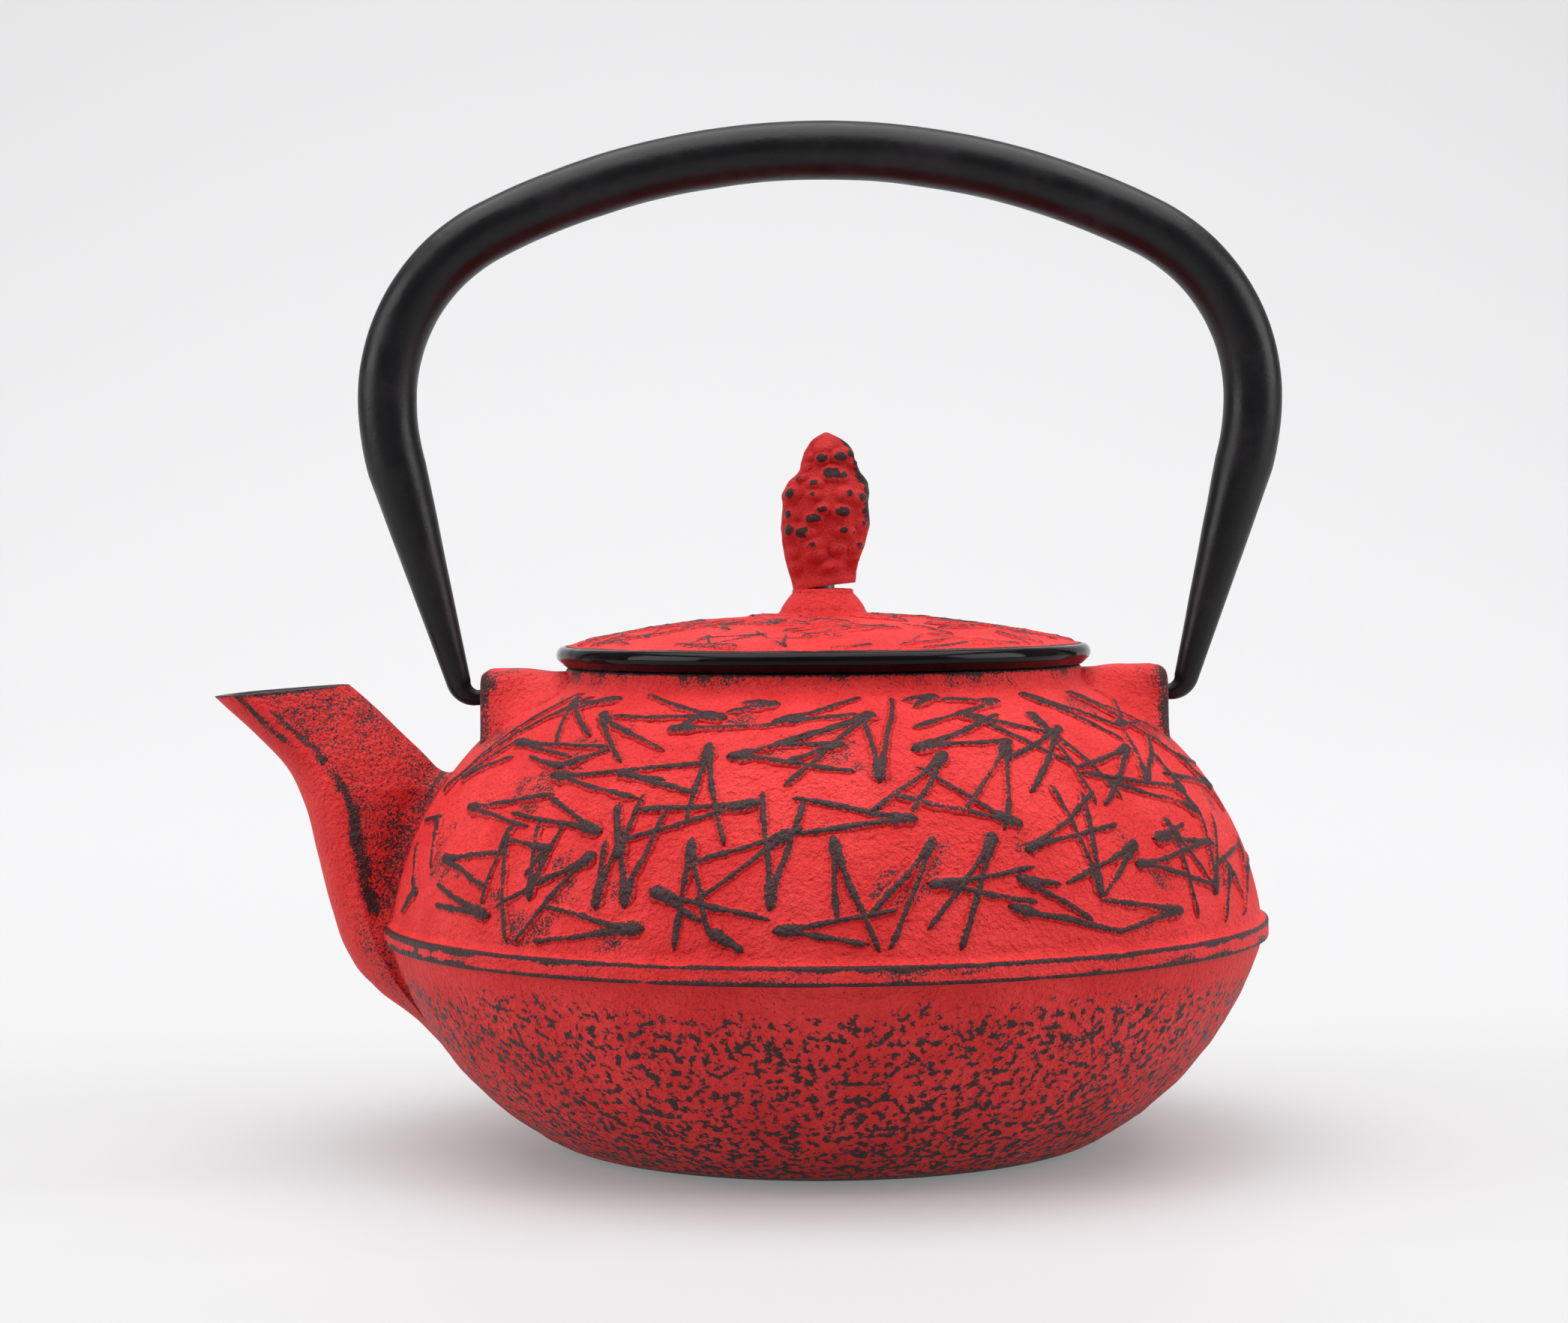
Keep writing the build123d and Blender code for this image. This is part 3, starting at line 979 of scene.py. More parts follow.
        # painted shade: the collar's top, under the lid's overhang, is taken almost to the
        # bare-iron colour
        rim = smooth_step(height + 0.25 * collar_noise, 79.9, 80.5) * 0.8
        wall = (height > self.belt_high + 1.0) & (height < self.collar_wear[0] + 0.1)
        patches = smooth_step(layered_noise(points, 7.0, 23), 0.08, 0.46) * self.patch_wear
        patches = patches + 0.16 * lattice_noise(points, 1.1, 25) * (patches > 0.1)
        # darker towards the bottom: the lowest 2 mm above the base go almost to the bare-iron
        # colour
        foot = 0.9 * smooth_step(height, 2.2, 0.4)
        marks = [self.belt_rub(points), collar, rim, np.where(wall, patches, 0.0), foot]
        return functools.reduce(np.maximum, marks)

    def belt_rub(self, points: Array) -> Array:
        """Where the belt is rubbed: broken lines along both edges and streaks on its face.

        Args:
            points: places on the outside, in millimetres.

        Returns:
            0 off the belt and for sound paint, to 1 for bare iron.
        """
        height, reach = points[..., 2], np.abs(points[..., 0])
        radius = np.hypot(points[..., 0], points[..., 1])
        wobble = lattice_noise(points, 5.0, 21) + 0.6 * lattice_noise(points, 1.6, 24)
        by_spout = smooth_step(-points[..., 0], 52.0, 72.0) * 0.9
        on_belt = smooth_step(radius, self.belt_radius - 0.75, self.belt_radius - 0.45)
        flat = points * np.array([1.0, 1.0, 5.0])
        streaks = smooth_step(layered_noise(flat, 6.0, 28), -0.1, 0.6) * on_belt
        face, more = self.belt_wear
        rub = np.maximum(0.0, streaks * (face + more * smooth_step(reach, 35.0, 68.0)))
        for edge, half in ((self.belt_high - 0.25, 0.40), (self.belt_low + 0.25, 0.36)):
            band = half + 0.30 * wobble + by_spout * (0.5 + 0.7 * lattice_noise(points, 2.6, 29))
            near = smooth_step(np.abs(height - edge), band + 0.18, band - 0.12)
            rub = np.maximum(rub, near * on_belt)
        return rub

    def build(self, paint: Material, enamel: Material) -> Piece:
        """Make the turned skin.

        Args:
            paint: outside finish.
            enamel: inside finish.

        Returns:
            The piece, riding on the pot and standing for the casting.
        """
        outer, inner = self.outer_outline(), self.inner_outline()
        outline = np.concatenate([outer, inner])
        rings = turned(outline, self.columns)
        normals = turned(outline_normals(outline), self.columns)
        outside = np.arange(len(outline)) < len(outer)
        height = rings[..., 2]
        edge = height + 1.3 * lattice_noise(rings, 6.0, 12) + 0.7 * lattice_noise(rings, 2.0, 13)
        zone = smooth_step(edge, self.pebble_top, self.pebble_top - self.pebble_fade)
        # up to 30 % more pebble marks and deeper pebbling towards the base, so the bowl gets darker
        # towards the bottom
        zone = zone * outside[:, None] * (1.0 + 0.30 * smooth_step(height, 18.0, 1.0))
        lumps = self.lump_depth * lattice_noise(rings, 2.9, 11) * zone
        lumps = lumps * smooth_step(height, 0.4, 3.0)
        swell = self.swell_depth * layered_noise(rings, 9.0, 31) * smooth_step(height, 1.0, 6.0)
        off_belt = smooth_step(np.abs(height - 0.5 * (self.belt_low + self.belt_high)), 2.0, 4.0)
        swell = swell * off_belt * smooth_step(height, 80.0, 77.0)
        push = np.where(outside[:, None], lumps + swell, 0.0)
        rub = np.where(outside[:, None], self.rub_field(rings), 0.0)
        rings = rings + normals * push[..., None]
        row_finish = np.where(outside[:-1] & outside[1:], 0, 1)
        start = np.array([[0.0, 0.0, 0.0]])
        end = np.array([[0.0, 0.0, self.wall]])
        skin = Skin(rings[None], rub[None], start, end, row_finish, zone[None])
        piece = make_piece("pot_skin", skin, [paint, enamel])
        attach(piece, "pot")
        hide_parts("pot_body")
        return piece


@dataclass
class Spout:
    """The spout: level egg-shaped sections with a worn ridge on each flank.

    Fields:
        pot: the casting it grows from.
        heights: heights of the guide sections.
        front: front edge's distance from the axis at those heights.
        back: back edge's distance from the axis at those heights.
        half_width: half widths at those heights.
        nose: length of the rounded front half of a section.
        mouth_tip: distance and height of the mouth's front edge.
        mouth_back: distance and height of its back edge.
        wall: thickness of the spout's wall.
        foot: height of the lowest section.
        passage_end: height where the passage ends in the pot's wall.
        root: depth of the root's hidden edge in the wall.
        lean: heights between which sections lean over to the slope of the mouth.
        columns: points round a section.
        rows: sections.
        blend: radius of the fillet at the root.
        heel_blend: how many times larger it is low down.
        swell_depth: height of the slow swells of the casting.
    """

    pot: PotCasting
    heights: tuple[float, ...] = (23.6, 25.0, 28.0, 33.0, 40.0, 50.0, 58.0, 64.0, 70.0, 76.0, 79.0)
    front: tuple[float, ...] = (69.0, 73.6, 77.9, 81.4, 83.8, 86.3, 88.3, 91.1, 96.4, 102.2, 105.0)
    back: tuple[float, ...] = (62.0, 62.0, 62.0, 61.0, 60.0, 60.0, 62.0, 66.2, 72.8, 79.3, 82.6)
    half_width: tuple[float, ...] = (5.0, 7.2, 9.4, 10.9, 11.6, 11.2, 10.1, 9.3, 8.4, 7.8, 7.6)
    nose: float = 6.6
    mouth_tip: Spot = (102.5, 76.4)
    mouth_back: Spot = (81.4, 78.1)
    wall: float = 2.3
    foot: float = 23.8
    passage_end: float = 34.0
    root: float = 1.5
    lean: Spot = (62.0, 77.2)
    columns: int = 112
    rows: int = 190
    blend: float = 4.5
    heel_blend: float = 1.7
    swell_depth: float = 0.12

    def top(self) -> float:
        """Height of the middle of the mouth."""
        return 0.5 * (self.mouth_tip[1] + self.mouth_back[1])

    def section(self, height: Array, inset: float, angle: Array) -> Array:
        """Points of level sections, one ring for each height.

        Args:
            height: heights of the rings.
            inset: how far inside the outer skin.
            angle: angles round the section, 0 at the back edge.

        Returns:
            Points (rows, columns, 3).  The front half is half an ellipse; the back half
            falls off partly in a straight line, which leaves a ridge at the widest place.
        """
        front = smooth_curve(height, self.heights, self.front) - inset
        back = smooth_curve(height, self.heights, self.back) + inset
        half = smooth_curve(height, self.heights, self.half_width) - inset
        limit = self.pot.wall_radius(height) - self.root
        kept = np.maximum(back, np.minimum(limit, front - 2.0))
        back = np.where(height < self.lean[0], kept, back)
        widest = np.maximum(front - self.nose + 0.5 * inset, back + 1.0)
        c, s = np.cos(angle)[None, :], np.sin(angle)[None, :]
        reach = np.where(c < 0, (front - widest)[:, None], (widest - back)[:, None])
        x = -(widest[:, None] - reach * c)
        taper = np.where(c > 0, 0.5 * (1 - np.abs(c)) + 0.5 * np.sqrt(1 - c * c), np.abs(s))
        y = half[:, None] * np.sign(s) * taper
        z = np.repeat(height[:, None], len(angle), axis=1)
        return np.stack([x, y, z], axis=-1)

    def tilt_mouth(self, rings: Array) -> Array:
        """Lean the upper rings so that the last one lies on the sloping mouth.

        Args:
            rings: level sections; changed in place.

        Returns:
            The same rings, each raised by the mouth's slope times its distance from the middle.
        """
        (tip_x, tip_z), (back_x, back_z) = self.mouth_tip, self.mouth_back
        slope = (back_z - tip_z) / (tip_x - back_x)
        share = smooth_step(rings[..., 2], *self.lean)
        rings[..., 2] += share * slope * (rings[..., 0] + 0.5 * (tip_x + back_x))
        return rings

    def outer_rings(self, angle: Array) -> tuple[Array, Array]:
        """Outer skin from root to lip, with the root flared into the wall.

        Points near the wall are moved round the pot, at an unchanged distance from its wall, by
        the spread of a concave quarter round.

        Args:
            angle: angles round the section.

        Returns:
            The rings and their rub values.
        """
        share = np.linspace(0, 1, self.rows) ** 0.85
        height = self.foot + (self.top() - self.foot) * share
        rings = self.section(height, 0.0, angle)
        out = np.hypot(rings[..., 0], rings[..., 1]) - self.pot.wall_radius(rings[..., 2])
        spread = fillet(out, self.blend)
        wide = smooth_step(rings[..., 2], 45.0, 31.0)
        spread = spread + wide * (fillet(out, self.heel_blend * self.blend) - spread)
        low = smooth_step(rings[..., 2], 33.0, 25.5)
        turn = np.arctan2(rings[..., 1], -rings[..., 0])
        rings[..., 2] += spread * (0.35 * smooth_step(rings[..., 2], 56.0, 63.0) - 0.75 * low)
        radius = self.pot.wall_radius(rings[..., 2]) + out
        turn = turn + np.sign(turn) * spread * (1 - 0.35 * low) / radius
        rings[..., 0], rings[..., 1] = -radius * np.cos(turn), radius * np.sin(turn)
        rub = self.rub_field(rings, height, out)
        swell = self.swell_depth * layered_noise(rings, 5.0, 44)
        rings[..., 1] += swell * np.sign(rings[..., 1])
        return self.tilt_mouth(rings), rub

    def rub_field(self, rings: Array, height: Array, out: Array) -> Array:
        """Where the spout's paint is rubbed off.

        Args:
            rings: places on its skin.
            height: level of each ring.
            out: distance of the places from the pot's wall.

        Returns:
            0 for sound paint to 1 for bare iron: a broken streak along the flank's ridge, a
            second one under the mouth, specks behind the ridge, the upper joint and the lip.
        """
        level = rings[..., 2]
        ridge = -(smooth_curve(height, self.heights, self.front) - self.nose)[:, None]
        behind = rings[..., 0] - ridge
        wander = 0.9 * lattice_noise(rings, 4.5, 42) + 0.6 * lattice_noise(rings, 1.7, 45)
        uneven = 0.5 + 0.5 * lattice_noise(rings, 3.2, 41)
        width = 1.5 + 0.9 * smooth_step(level, 60.0, 44.0)
        streak = smooth_step(np.abs(behind - 1.7 + 0.5 * wander), width, 0.35)
        streak = streak * smooth_step(level, 34.0, 43.0) * smooth_step(level, 70.0, 60.0)
        crest = smooth_step(np.abs(behind + 2.2 + 0.8 * wander), 1.6, 0.3)
        crest = crest * smooth_step(level, 66.0, 70.0) * 0.8
        second = smooth_step(np.abs(behind - 1.2 + 0.7 * wander), 1.7, 0.3)
        second = second * smooth_step(level, 63.0, 66.0) * smooth_step(level, 75.5, 73.0)
        strength = 0.43 + 0.12 * lattice_noise(rings, 1.1, 46)
        strength = strength + 0.10 * lattice_noise(rings, 6.0, 43)
        specks = smooth_step(behind, 0.5, 2.5) * smooth_step(level, 32.0, 42.0) * strength
        joint = smooth_step(np.abs(out - 1.4), 1.2, 0.3) * smooth_step(level, 52.0, 58.0)
        joint = joint * (0.2 + 0.7 * uneven)
        lip = smooth_step(level + 0.35 * wander, self.top() - 0.8, self.top() - 0.1) * 0.85
        low_specks = 0.42 * smooth_step(level, 48.0, 36.0) * smooth_step(behind, -5.0, -1.5)
        front_specks = 0.24 * smooth_step(behind, 0.0, -2.0)
        marks = [streak * (0.55 + 0.5 * uneven), crest * (0.3 + uneven), second * (0.2 + uneven),
                 specks, joint, lip, low_specks, front_specks]
        return functools.reduce(np.maximum, marks)

    def inner_rings(self, angle: Array) -> Array:
        """Passage skin from the lip down to its closed end in the wall.

        Args:
            angle: angles round the section.

        Returns:
            Its rings, the outer sections drawn in by the wall.
        """
        height = np.linspace(self.top() - 0.35, self.passage_end, 40)
        return self.tilt_mouth(self.section(height, self.wall, angle))

    def build(self, paint: Material, enamel: Material) -> Piece:
        """Make the spout.

        Args:
            paint: outside finish.
            enamel: passage finish.

        Returns:
            The piece, riding on the pot.
        """
        angle = round_angles(self.columns)
        outer, rub = self.outer_rings(angle)
        inner = self.inner_rings(angle)
        lip = 0.5 * (outer[-1:] + inner[:1]) + np.array([0.0, 0.0, 0.3])
        rings = np.concatenate([outer, lip, inner])
        values = np.concatenate([rub, np.ones((1 + len(inner), self.columns))])
        row_finish = np.where(np.arange(len(rings) - 1) < self.rows, 0, 1)
        skin = Skin(rings[None], values[None], row_finish=row_finish)
        piece = make_piece("spout_skin", skin, [paint, enamel])
        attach(piece, "pot")
        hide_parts("spout")
        return piece


@dataclass
class Ear:
    """One of the two ears that the handle hooks into.

    Fields:
        side: which end of the pot.
        pot: the casting it grows from.
        face: distance of its flat outer face from the axis.
        root: distance of its hidden inner end.
        top: height of its level top.
        foot: height of its hidden lower edge.
        half_width: half its width at the top.
        corner: radius of the edge round the outer face.
        blend: radius of the fillet on the shoulder.
        squareness: power of the section's rounded square; 1 would be an ellipse.
        dip: how far the top sinks towards the root.
        swell_depth: height of the slow swells of the casting.
        edge_rows: sections on the rounded edge.
        columns: points round a section.
        rows: sections.
    """

    side: Side
    pot: PotCasting
    face: float = 58.0
    root: float = 42.2
    top: float = 80.5
    foot: float = 62.0
    half_width: float = 8.6
    corner: float = 1.9
    blend: float = 8.0
    squareness: float = 0.34
    dip: float = 0.55
    swell_depth: float = 0.14
    edge_rows: int = 12
    columns: int = 120
    rows: int = 60

    def shoulder_height(self, radius: Array) -> Array:
        """Height of the pot's shoulder at a distance from the axis."""
        outline = arc(self.pot.shoulder, 80)[::-1]
        return np.interp(radius, outline[:, 0], outline[:, 1])

    def sections(self) -> Array:
        """Rings of the ear: rounded gates square to X, flared where they meet the shoulder.

        Returns:
            Points (rows, columns, 3).  A section is a rounded square with a concave quarter
            round at the shoulder; the last ones shrink along a quarter circle, which rounds
            the edge of the outer face.
        """
        quarter = np.sin(np.linspace(0, math.pi / 2, self.edge_rows + 1)[1:])
        x = np.concatenate([
            np.linspace(self.root, self.face - self.corner, self.rows - self.edge_rows),
            self.face - self.corner * (1 - quarter),
        ])
        into_edge = ((x - self.face + self.corner) / self.corner).clip(0)
        shrink = self.corner * (1 - np.sqrt(np.clip(1 - into_edge**2, 0, 1)))
        angle = round_angles(self.columns)
        c, s = np.cos(angle)[None, :], np.sin(angle)[None, :]
        dip = self.dip * smooth_step(x, self.face - 7.0, self.root + 3.0)
        top = (self.top - dip)[:, None]
        middle = 0.5 * (top + self.foot)
        rise = 0.5 * (top - self.foot)
        z = middle + rise * np.sign(s) * np.abs(s) ** self.squareness
        y = self.half_width * np.sign(c) * np.abs(c) ** self.squareness
        shoulder = self.shoulder_height(np.hypot(x[:, None], y))
        flare = 1.0 - 0.65 * smooth_step(x, self.root + 4.0, self.face - 1.5)[:, None]
        y = y + np.sign(y) * fillet(z - shoulder + 0.6, self.blend) * flare
        edge = shrink[:, None]
        y = y - np.sign(y) * np.minimum(edge * 0.75, np.abs(y))
        z = np.where(s > 0, z - edge * 0.75, z)
        return np.stack([np.repeat(x[:, None], self.columns, 1), y, z], axis=-1)

    def rub_field(self, rings: Array, level: Array) -> Array:
        """Where the ear's paint is rubbed off.

        Args:
            rings: places on its skin.
            level: their heights before the casting's swells.

        Returns:
            0 for sound paint to 1 for bare iron: the outer face, its edge, and a patch on top.
        """
        x = np.abs(rings[..., 0])
        outer_face = smooth_step(x, self.face - 0.9, self.face - 0.3)
        patch = smooth_step(layered_noise(rings, 4.0, 52), -0.2, 0.6) * smooth_step(x, 46.0, 56.0)
        corner = smooth_step(x, self.face - 3.2, self.face - 0.8) * (0.5 + 0.35 * patch)
        patch = EAR_WEAR[self.side] * patch * smooth_step(level, 66.0, 74.0)
        outer_face = outer_face * (0.66 + 0.22 * lattice_noise(rings, 1.6, 53))
        return functools.reduce(np.maximum, [outer_face, patch, corner])

    def build(self, paint: Material) -> Piece:
        """Make the ear.

        Args:
            paint: its finish.

        Returns:
            The piece, riding on the pot.
        """
        rings = self.sections() * np.array([self.side.value, 1.0, 1.0])
        swell = self.swell_depth * layered_noise(rings, 6.0, 51)
        level = rings[..., 2]
        rings = rings + swell[..., None] * np.array([0.0, 1.0, 1.0])
        skin = Skin(rings[None], self.rub_field(rings, level)[None])
        piece = make_piece(f"ear_{self.side.name.lower()}_side", skin, [paint])
        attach(piece, "pot")
        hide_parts("pot_body")
        return piece


# ---------------------------------------------------------------- pine needle relief
# Needle pairs of the front half of the wall: turn (degrees, 0 at the front, towards the back
# ear when positive) and height (mm) of the sheath's head, then of the tip of each needle.
WALL_PAIRS = (
    (-84, 50, -66, 75.5, -72, 74.5), (-81, 46.5, -68, 68, -74, 62),
    (-77, 60.5, -56, 75.8, -61, 76.2), (-46, 74.5, -29, 69.7, -35, 68),
    (-59, 76.5, -45, 71.5, -50.5, 70), (-45, 76.6, -57, 75.5, -60, 73.5),
    (-19, 74, -38, 77, -41, 74), (-10, 76.2, -19, 75, -17, 76.3), (-29, 72.3, -11, 73, -24, 74),
    (-11, 73.3, 4, 76.8, 3, 74.5), (-17, 68.5, 3, 73.3, 1, 66.5), (1.5, 70.2, -9, 70.2, -7, 68),
    (7, 74.8, -6.5, 65.3, -9, 70.5), (-20.3, 70.6, -20.5, 60, -15.3, 57),
    (-46.5, 65, -22, 67.3, -30, 62.4), (-34, 66, -21, 63.3, -26, 65),
    (-63, 69.5, -46, 68, -40, 69.5), (-45, 66, -38, 69, -54, 67.5),
    (-62.5, 59.3, -45, 62, -47, 57.5), (-32.5, 57, -49, 59, -43, 61.5),
    (-27, 46, -31, 60.5, -24, 59.5), (-29, 53, -28, 62.2, -31.5, 60.6),
    (-10.3, 62, -28, 56.3, -26.5, 60.7), (-19.3, 56.8, -20, 41.5, -16, 43.5),
    (-24, 49, -9.8, 45.2, -17.3, 44.8), (-16, 43.3, -12, 40.4, -14, 42.6),
    (-8.6, 46.2, -10.4, 62.3, -5, 61.5), (-4.8, 58.3, -18, 53.3, -17, 48.3),
    (10.5, 59.3, -4.5, 57.5, -5, 62.3), (-8.3, 43.3, 5.5, 46, 2.2, 41.4),
    (-32.5, 54, -42.5, 40.5, -46, 45.7), (-41.5, 46.3, -43.5, 57.3, -39.3, 57.5),
    (-63, 51.3, -50, 53, -51, 48.2), (-48, 43.5, -61, 47, -60, 44),
    (-49, 57.5, -50, 46, -44.5, 40.6), (-39.5, 54.5, -48, 55, -43, 50.3),
    (-31, 45.6, -31.5, 55.3, -29.5, 57), (-24, 43.2, -38.5, 40.6, -38, 45.6),
    (-70, 57.3, -78, 56, -66, 50), (-66, 73, -73, 62, -79, 66), (-72, 63, -60, 67, -63, 69),
    (-68, 45, -76, 52, -73, 41.5), (5.8, 64.6, 4.8, 73.5, 10.8, 76.2),
    (21, 77, 13.5, 76.5, 15, 75.6), (33.4, 76, 14.5, 72.8, 22, 76.5),
    (11.5, 69.3, 29, 73.8, 28, 70.2), (22, 74.6, 38.5, 70.8, 37.5, 66.6),
    (41.5, 72, 29, 63.4, 27, 67.6), (37, 74.3, 43.5, 62, 38.3, 61.5),
    (54.5, 68.5, 39.5, 66, 41, 60.8), (40, 77, 57, 71.5, 53.5, 69.8),
    (62, 60.5, 40.5, 64.7, 60, 67), (51.5, 62.5, 64, 69, 57, 70), (62, 57.2, 44.5, 63, 60, 64),
    (24.3, 54.2, 38, 61.6, 39.3, 56.9), (34, 46.5, 32, 62.3, 36.5, 61.2),
    (43, 54.4, 35, 47.3, 30.3, 49.5), (48.5, 43.3, 35, 46, 37, 41.5),
    (41.3, 51, 60, 53, 56, 46.7), (46.5, 54.5, 61, 52.5, 55, 56), (51, 57.5, 51.5, 43, 57, 46),
    (57, 44.8, 66, 56, 62, 57), (76, 52, 61, 49.5, 70, 44), (12.2, 56.7, 6, 41.8, 3.6, 45.8),
    (-1, 57.2, -0.7, 45.9, 3.9, 41.4), (20.5, 57.1, 14.5, 41.4, 11, 44.4),
    (10.5, 49.8, 24, 51.6, 23.5, 46.8), (22.3, 50.4, 31.5, 43.8, 28, 49),
    (20.5, 46.2, 35.5, 41.4, 31, 42.6), (17, 69, 5, 61, 10.2, 61),
    (25, 57.8, 8.7, 62.5, 12.7, 66.2), (28.5, 70.6, 18, 61.3, 22.5, 58.4),
    (78, 60, 60, 63.5, 66, 69), (57, 71.3, 69, 71.5, 71, 75), (55, 76.8, 72, 70, 64, 70),
    (64, 49.5, 59, 41, 67, 43.5), (72, 47, 66, 41, 79, 49), (70, 66, 76, 57, 80, 64),
)


# Section of a needle: place across and height, in half widths and rises, and how far it is
# rubbed.  From one side over the crest to the other, then the two hidden corners below.
NEEDLE_SECTION = (
    (-1.75, -0.10, 0.0), (-1.0, 0.55, 0.52), (-0.5, 0.90, 0.95), (0.0, 1.0, 1.0), (0.5, 0.90, 0.95),
    (1.0, 0.55, 0.52), (1.75, -0.10, 0.0), (0.6, -1.0, 0.0), (-0.6, -1.0, 0.0),
)


@dataclass
class NeedleRelief:
    """Raised pine needles: pairs that leave one thick sheath and cross their neighbours.

    Fields:
        outline: (radius, height) line of the surface, in order of rising distance along it.
        sheath: length of the thick end.
        half_width: half the width of a needle's crest.
        sheath_half_width: half the width of the sheath's crest.
        rise: height of a needle above the surface.
        sheath_rise: height of the sheath above it.
        sink: depth of its hidden underside.
        rows: sections along a needle.
        ragged: how uneven its edges and crest are.
        stretch: factor on the length of listed needles.
        bare: how far the crest is rubbed.
    """

    outline: Array
    sheath: float = 4.4
    half_width: float = 0.55
    sheath_half_width: float = 0.80
    rise: float = 0.50
    sheath_rise: float = 0.68
    sink: float = 0.6
    rows: int = 32
    ragged: float = 0.18
    stretch: float = 1.09
    bare: float = 0.86

    def along(self) -> Array:
        """Distance along the outline at each of its points."""
        return travelled(self.outline)

    def distance_at(self, height: Array) -> Array:
        """Distance along the outline where it reaches a height."""
        order = np.argsort(self.outline[:, 1])
        return np.interp(height, self.outline[order, 1], self.along()[order])

    def on_surface(self, turn: Array, distance: Array) -> tuple[Array, Array]:
        """Place and normal of surface points.

        Args:
            turn: angle round the axis from the front, in radians.
            distance: distance along the outline.

        Returns:
            Points and unit normals, xyz on the last axis.
        """
        along = self.along()
        normal = outline_normals(self.outline)
        radius = np.interp(distance, along, self.outline[:, 0])
        height = np.interp(distance, along, self.outline[:, 1])
        out = np.interp(distance, along, normal[:, 0])
        up = np.interp(distance, along, normal[:, 1])
        length = np.hypot(out, up)
        x, y = np.sin(turn), -np.cos(turn)
        place = np.stack([radius * x, radius * y, height], axis=-1)
        return place, np.stack([out * x, out * y, up], axis=-1) / length[..., None]

    def build(self, name: str, needles: Array, paint: Material, seed: int) -> Piece:
        """Make all needles of one surface as closed raised strips.

        Args:
            name: name of the piece.
            needles: one row each: turn and distance of the head, then of the tip; the first
                half of the rows holds one needle of each pair, the second half the other.
            paint: their finish.
            seed: picks the ragged edges.

        Returns:
            The piece.  A strip's crest is highest in the middle and falls to the surface at its
            sides; it swells at the sheath, narrows to the tip and is rounded at both ends.
        """
        share = (np.linspace(0, 1, self.rows) ** 1.15)[None, :, None]
        head, tip = needles[:, None, :2], needles[:, None, 2:4]
        pair = np.roll(tip, len(tip) // 2, axis=0)
        middle = head + (tip - head) * share + 0.5 * (pair - tip) * share * (1 - share) ** 3
        path, normal = self.on_surface(middle[..., 0], middle[..., 1])
        step = np.linalg.norm(np.diff(path, axis=1), axis=-1)
        t = np.concatenate([np.zeros((len(path), 1)), np.cumsum(step, axis=1)], axis=1)
        length = t[:, -1:]
        side = np.cross(unit(np.gradient(path, axis=1)), normal)
        sway = 0.30 * lattice_noise(path, 5.0, seed + 5) * np.sin(np.pi * t / length)
        path = path + side * sway[..., None]
        thick = smooth_step(t, self.sheath + 1.2, self.sheath - 1.4)
        ends = np.sqrt(np.clip(t / 0.9, 0.04, 1)) * np.sqrt(np.clip((length - t) / 0.9, 0.04, 1))
        uneven = 1.8 * lattice_noise(path, 0.9, seed) + lattice_noise(path, 3.0, seed + 1)
        half = self.half_width * (1.05 - 0.20 * t / length)
        half = half + (self.sheath_half_width - self.half_width) * thick
        half = half * ends * (1 + self.ragged * uneven)
        rise = (self.rise + (self.sheath_rise - self.rise) * thick) * ends
        rise = rise * (1 + self.ragged * 1.4 * lattice_noise(path, 0.8, seed + 2))
        across, crest, bare = np.array(NEEDLE_SECTION).T
        level = np.where(crest > -0.5, crest * rise[..., None], -self.sink)
        rings = carried(path, side, normal, across * half[..., None], level)
        worn = self.bare + 0.26 * lattice_noise(path, 6.0, seed + 3)
        worn = worn + 0.12 * lattice_noise(path, 1.5, seed + 4)
        rub = bare * np.clip(worn + 0.15 * thick, 0.3, 1.1)[..., None]
        return make_piece(name, Skin(rings, rub), [paint])

    def placed_pairs(self, pairs: tuple[tuple[float, ...], ...], extra_turn: float) -> Array:
        """Needles of listed pairs.

        Args:
            pairs: turn (degrees) and height (mm) of the head and of both tips.
            extra_turn: degrees added to every turn.

        Returns:
            Turn and distance of each head, then of its tip: all first needles, then all second.
        """
        table = np.array(pairs)
        turn = np.radians(table[:, 0::2] + extra_turn)
        distance = self.distance_at(table[:, 1::2])
        needles = np.concatenate([
            np.stack([turn[:, 0], distance[:, 0], turn[:, tip], distance[:, tip]], axis=1)
            for tip in (1, 2)
        ])
        needles[:, 2:] = needles[:, :2] + (needles[:, 2:] - needles[:, :2]) * self.stretch
        needles[:, 3] = np.minimum(needles[:, 3], self.along()[-1] - 0.3)
        return needles

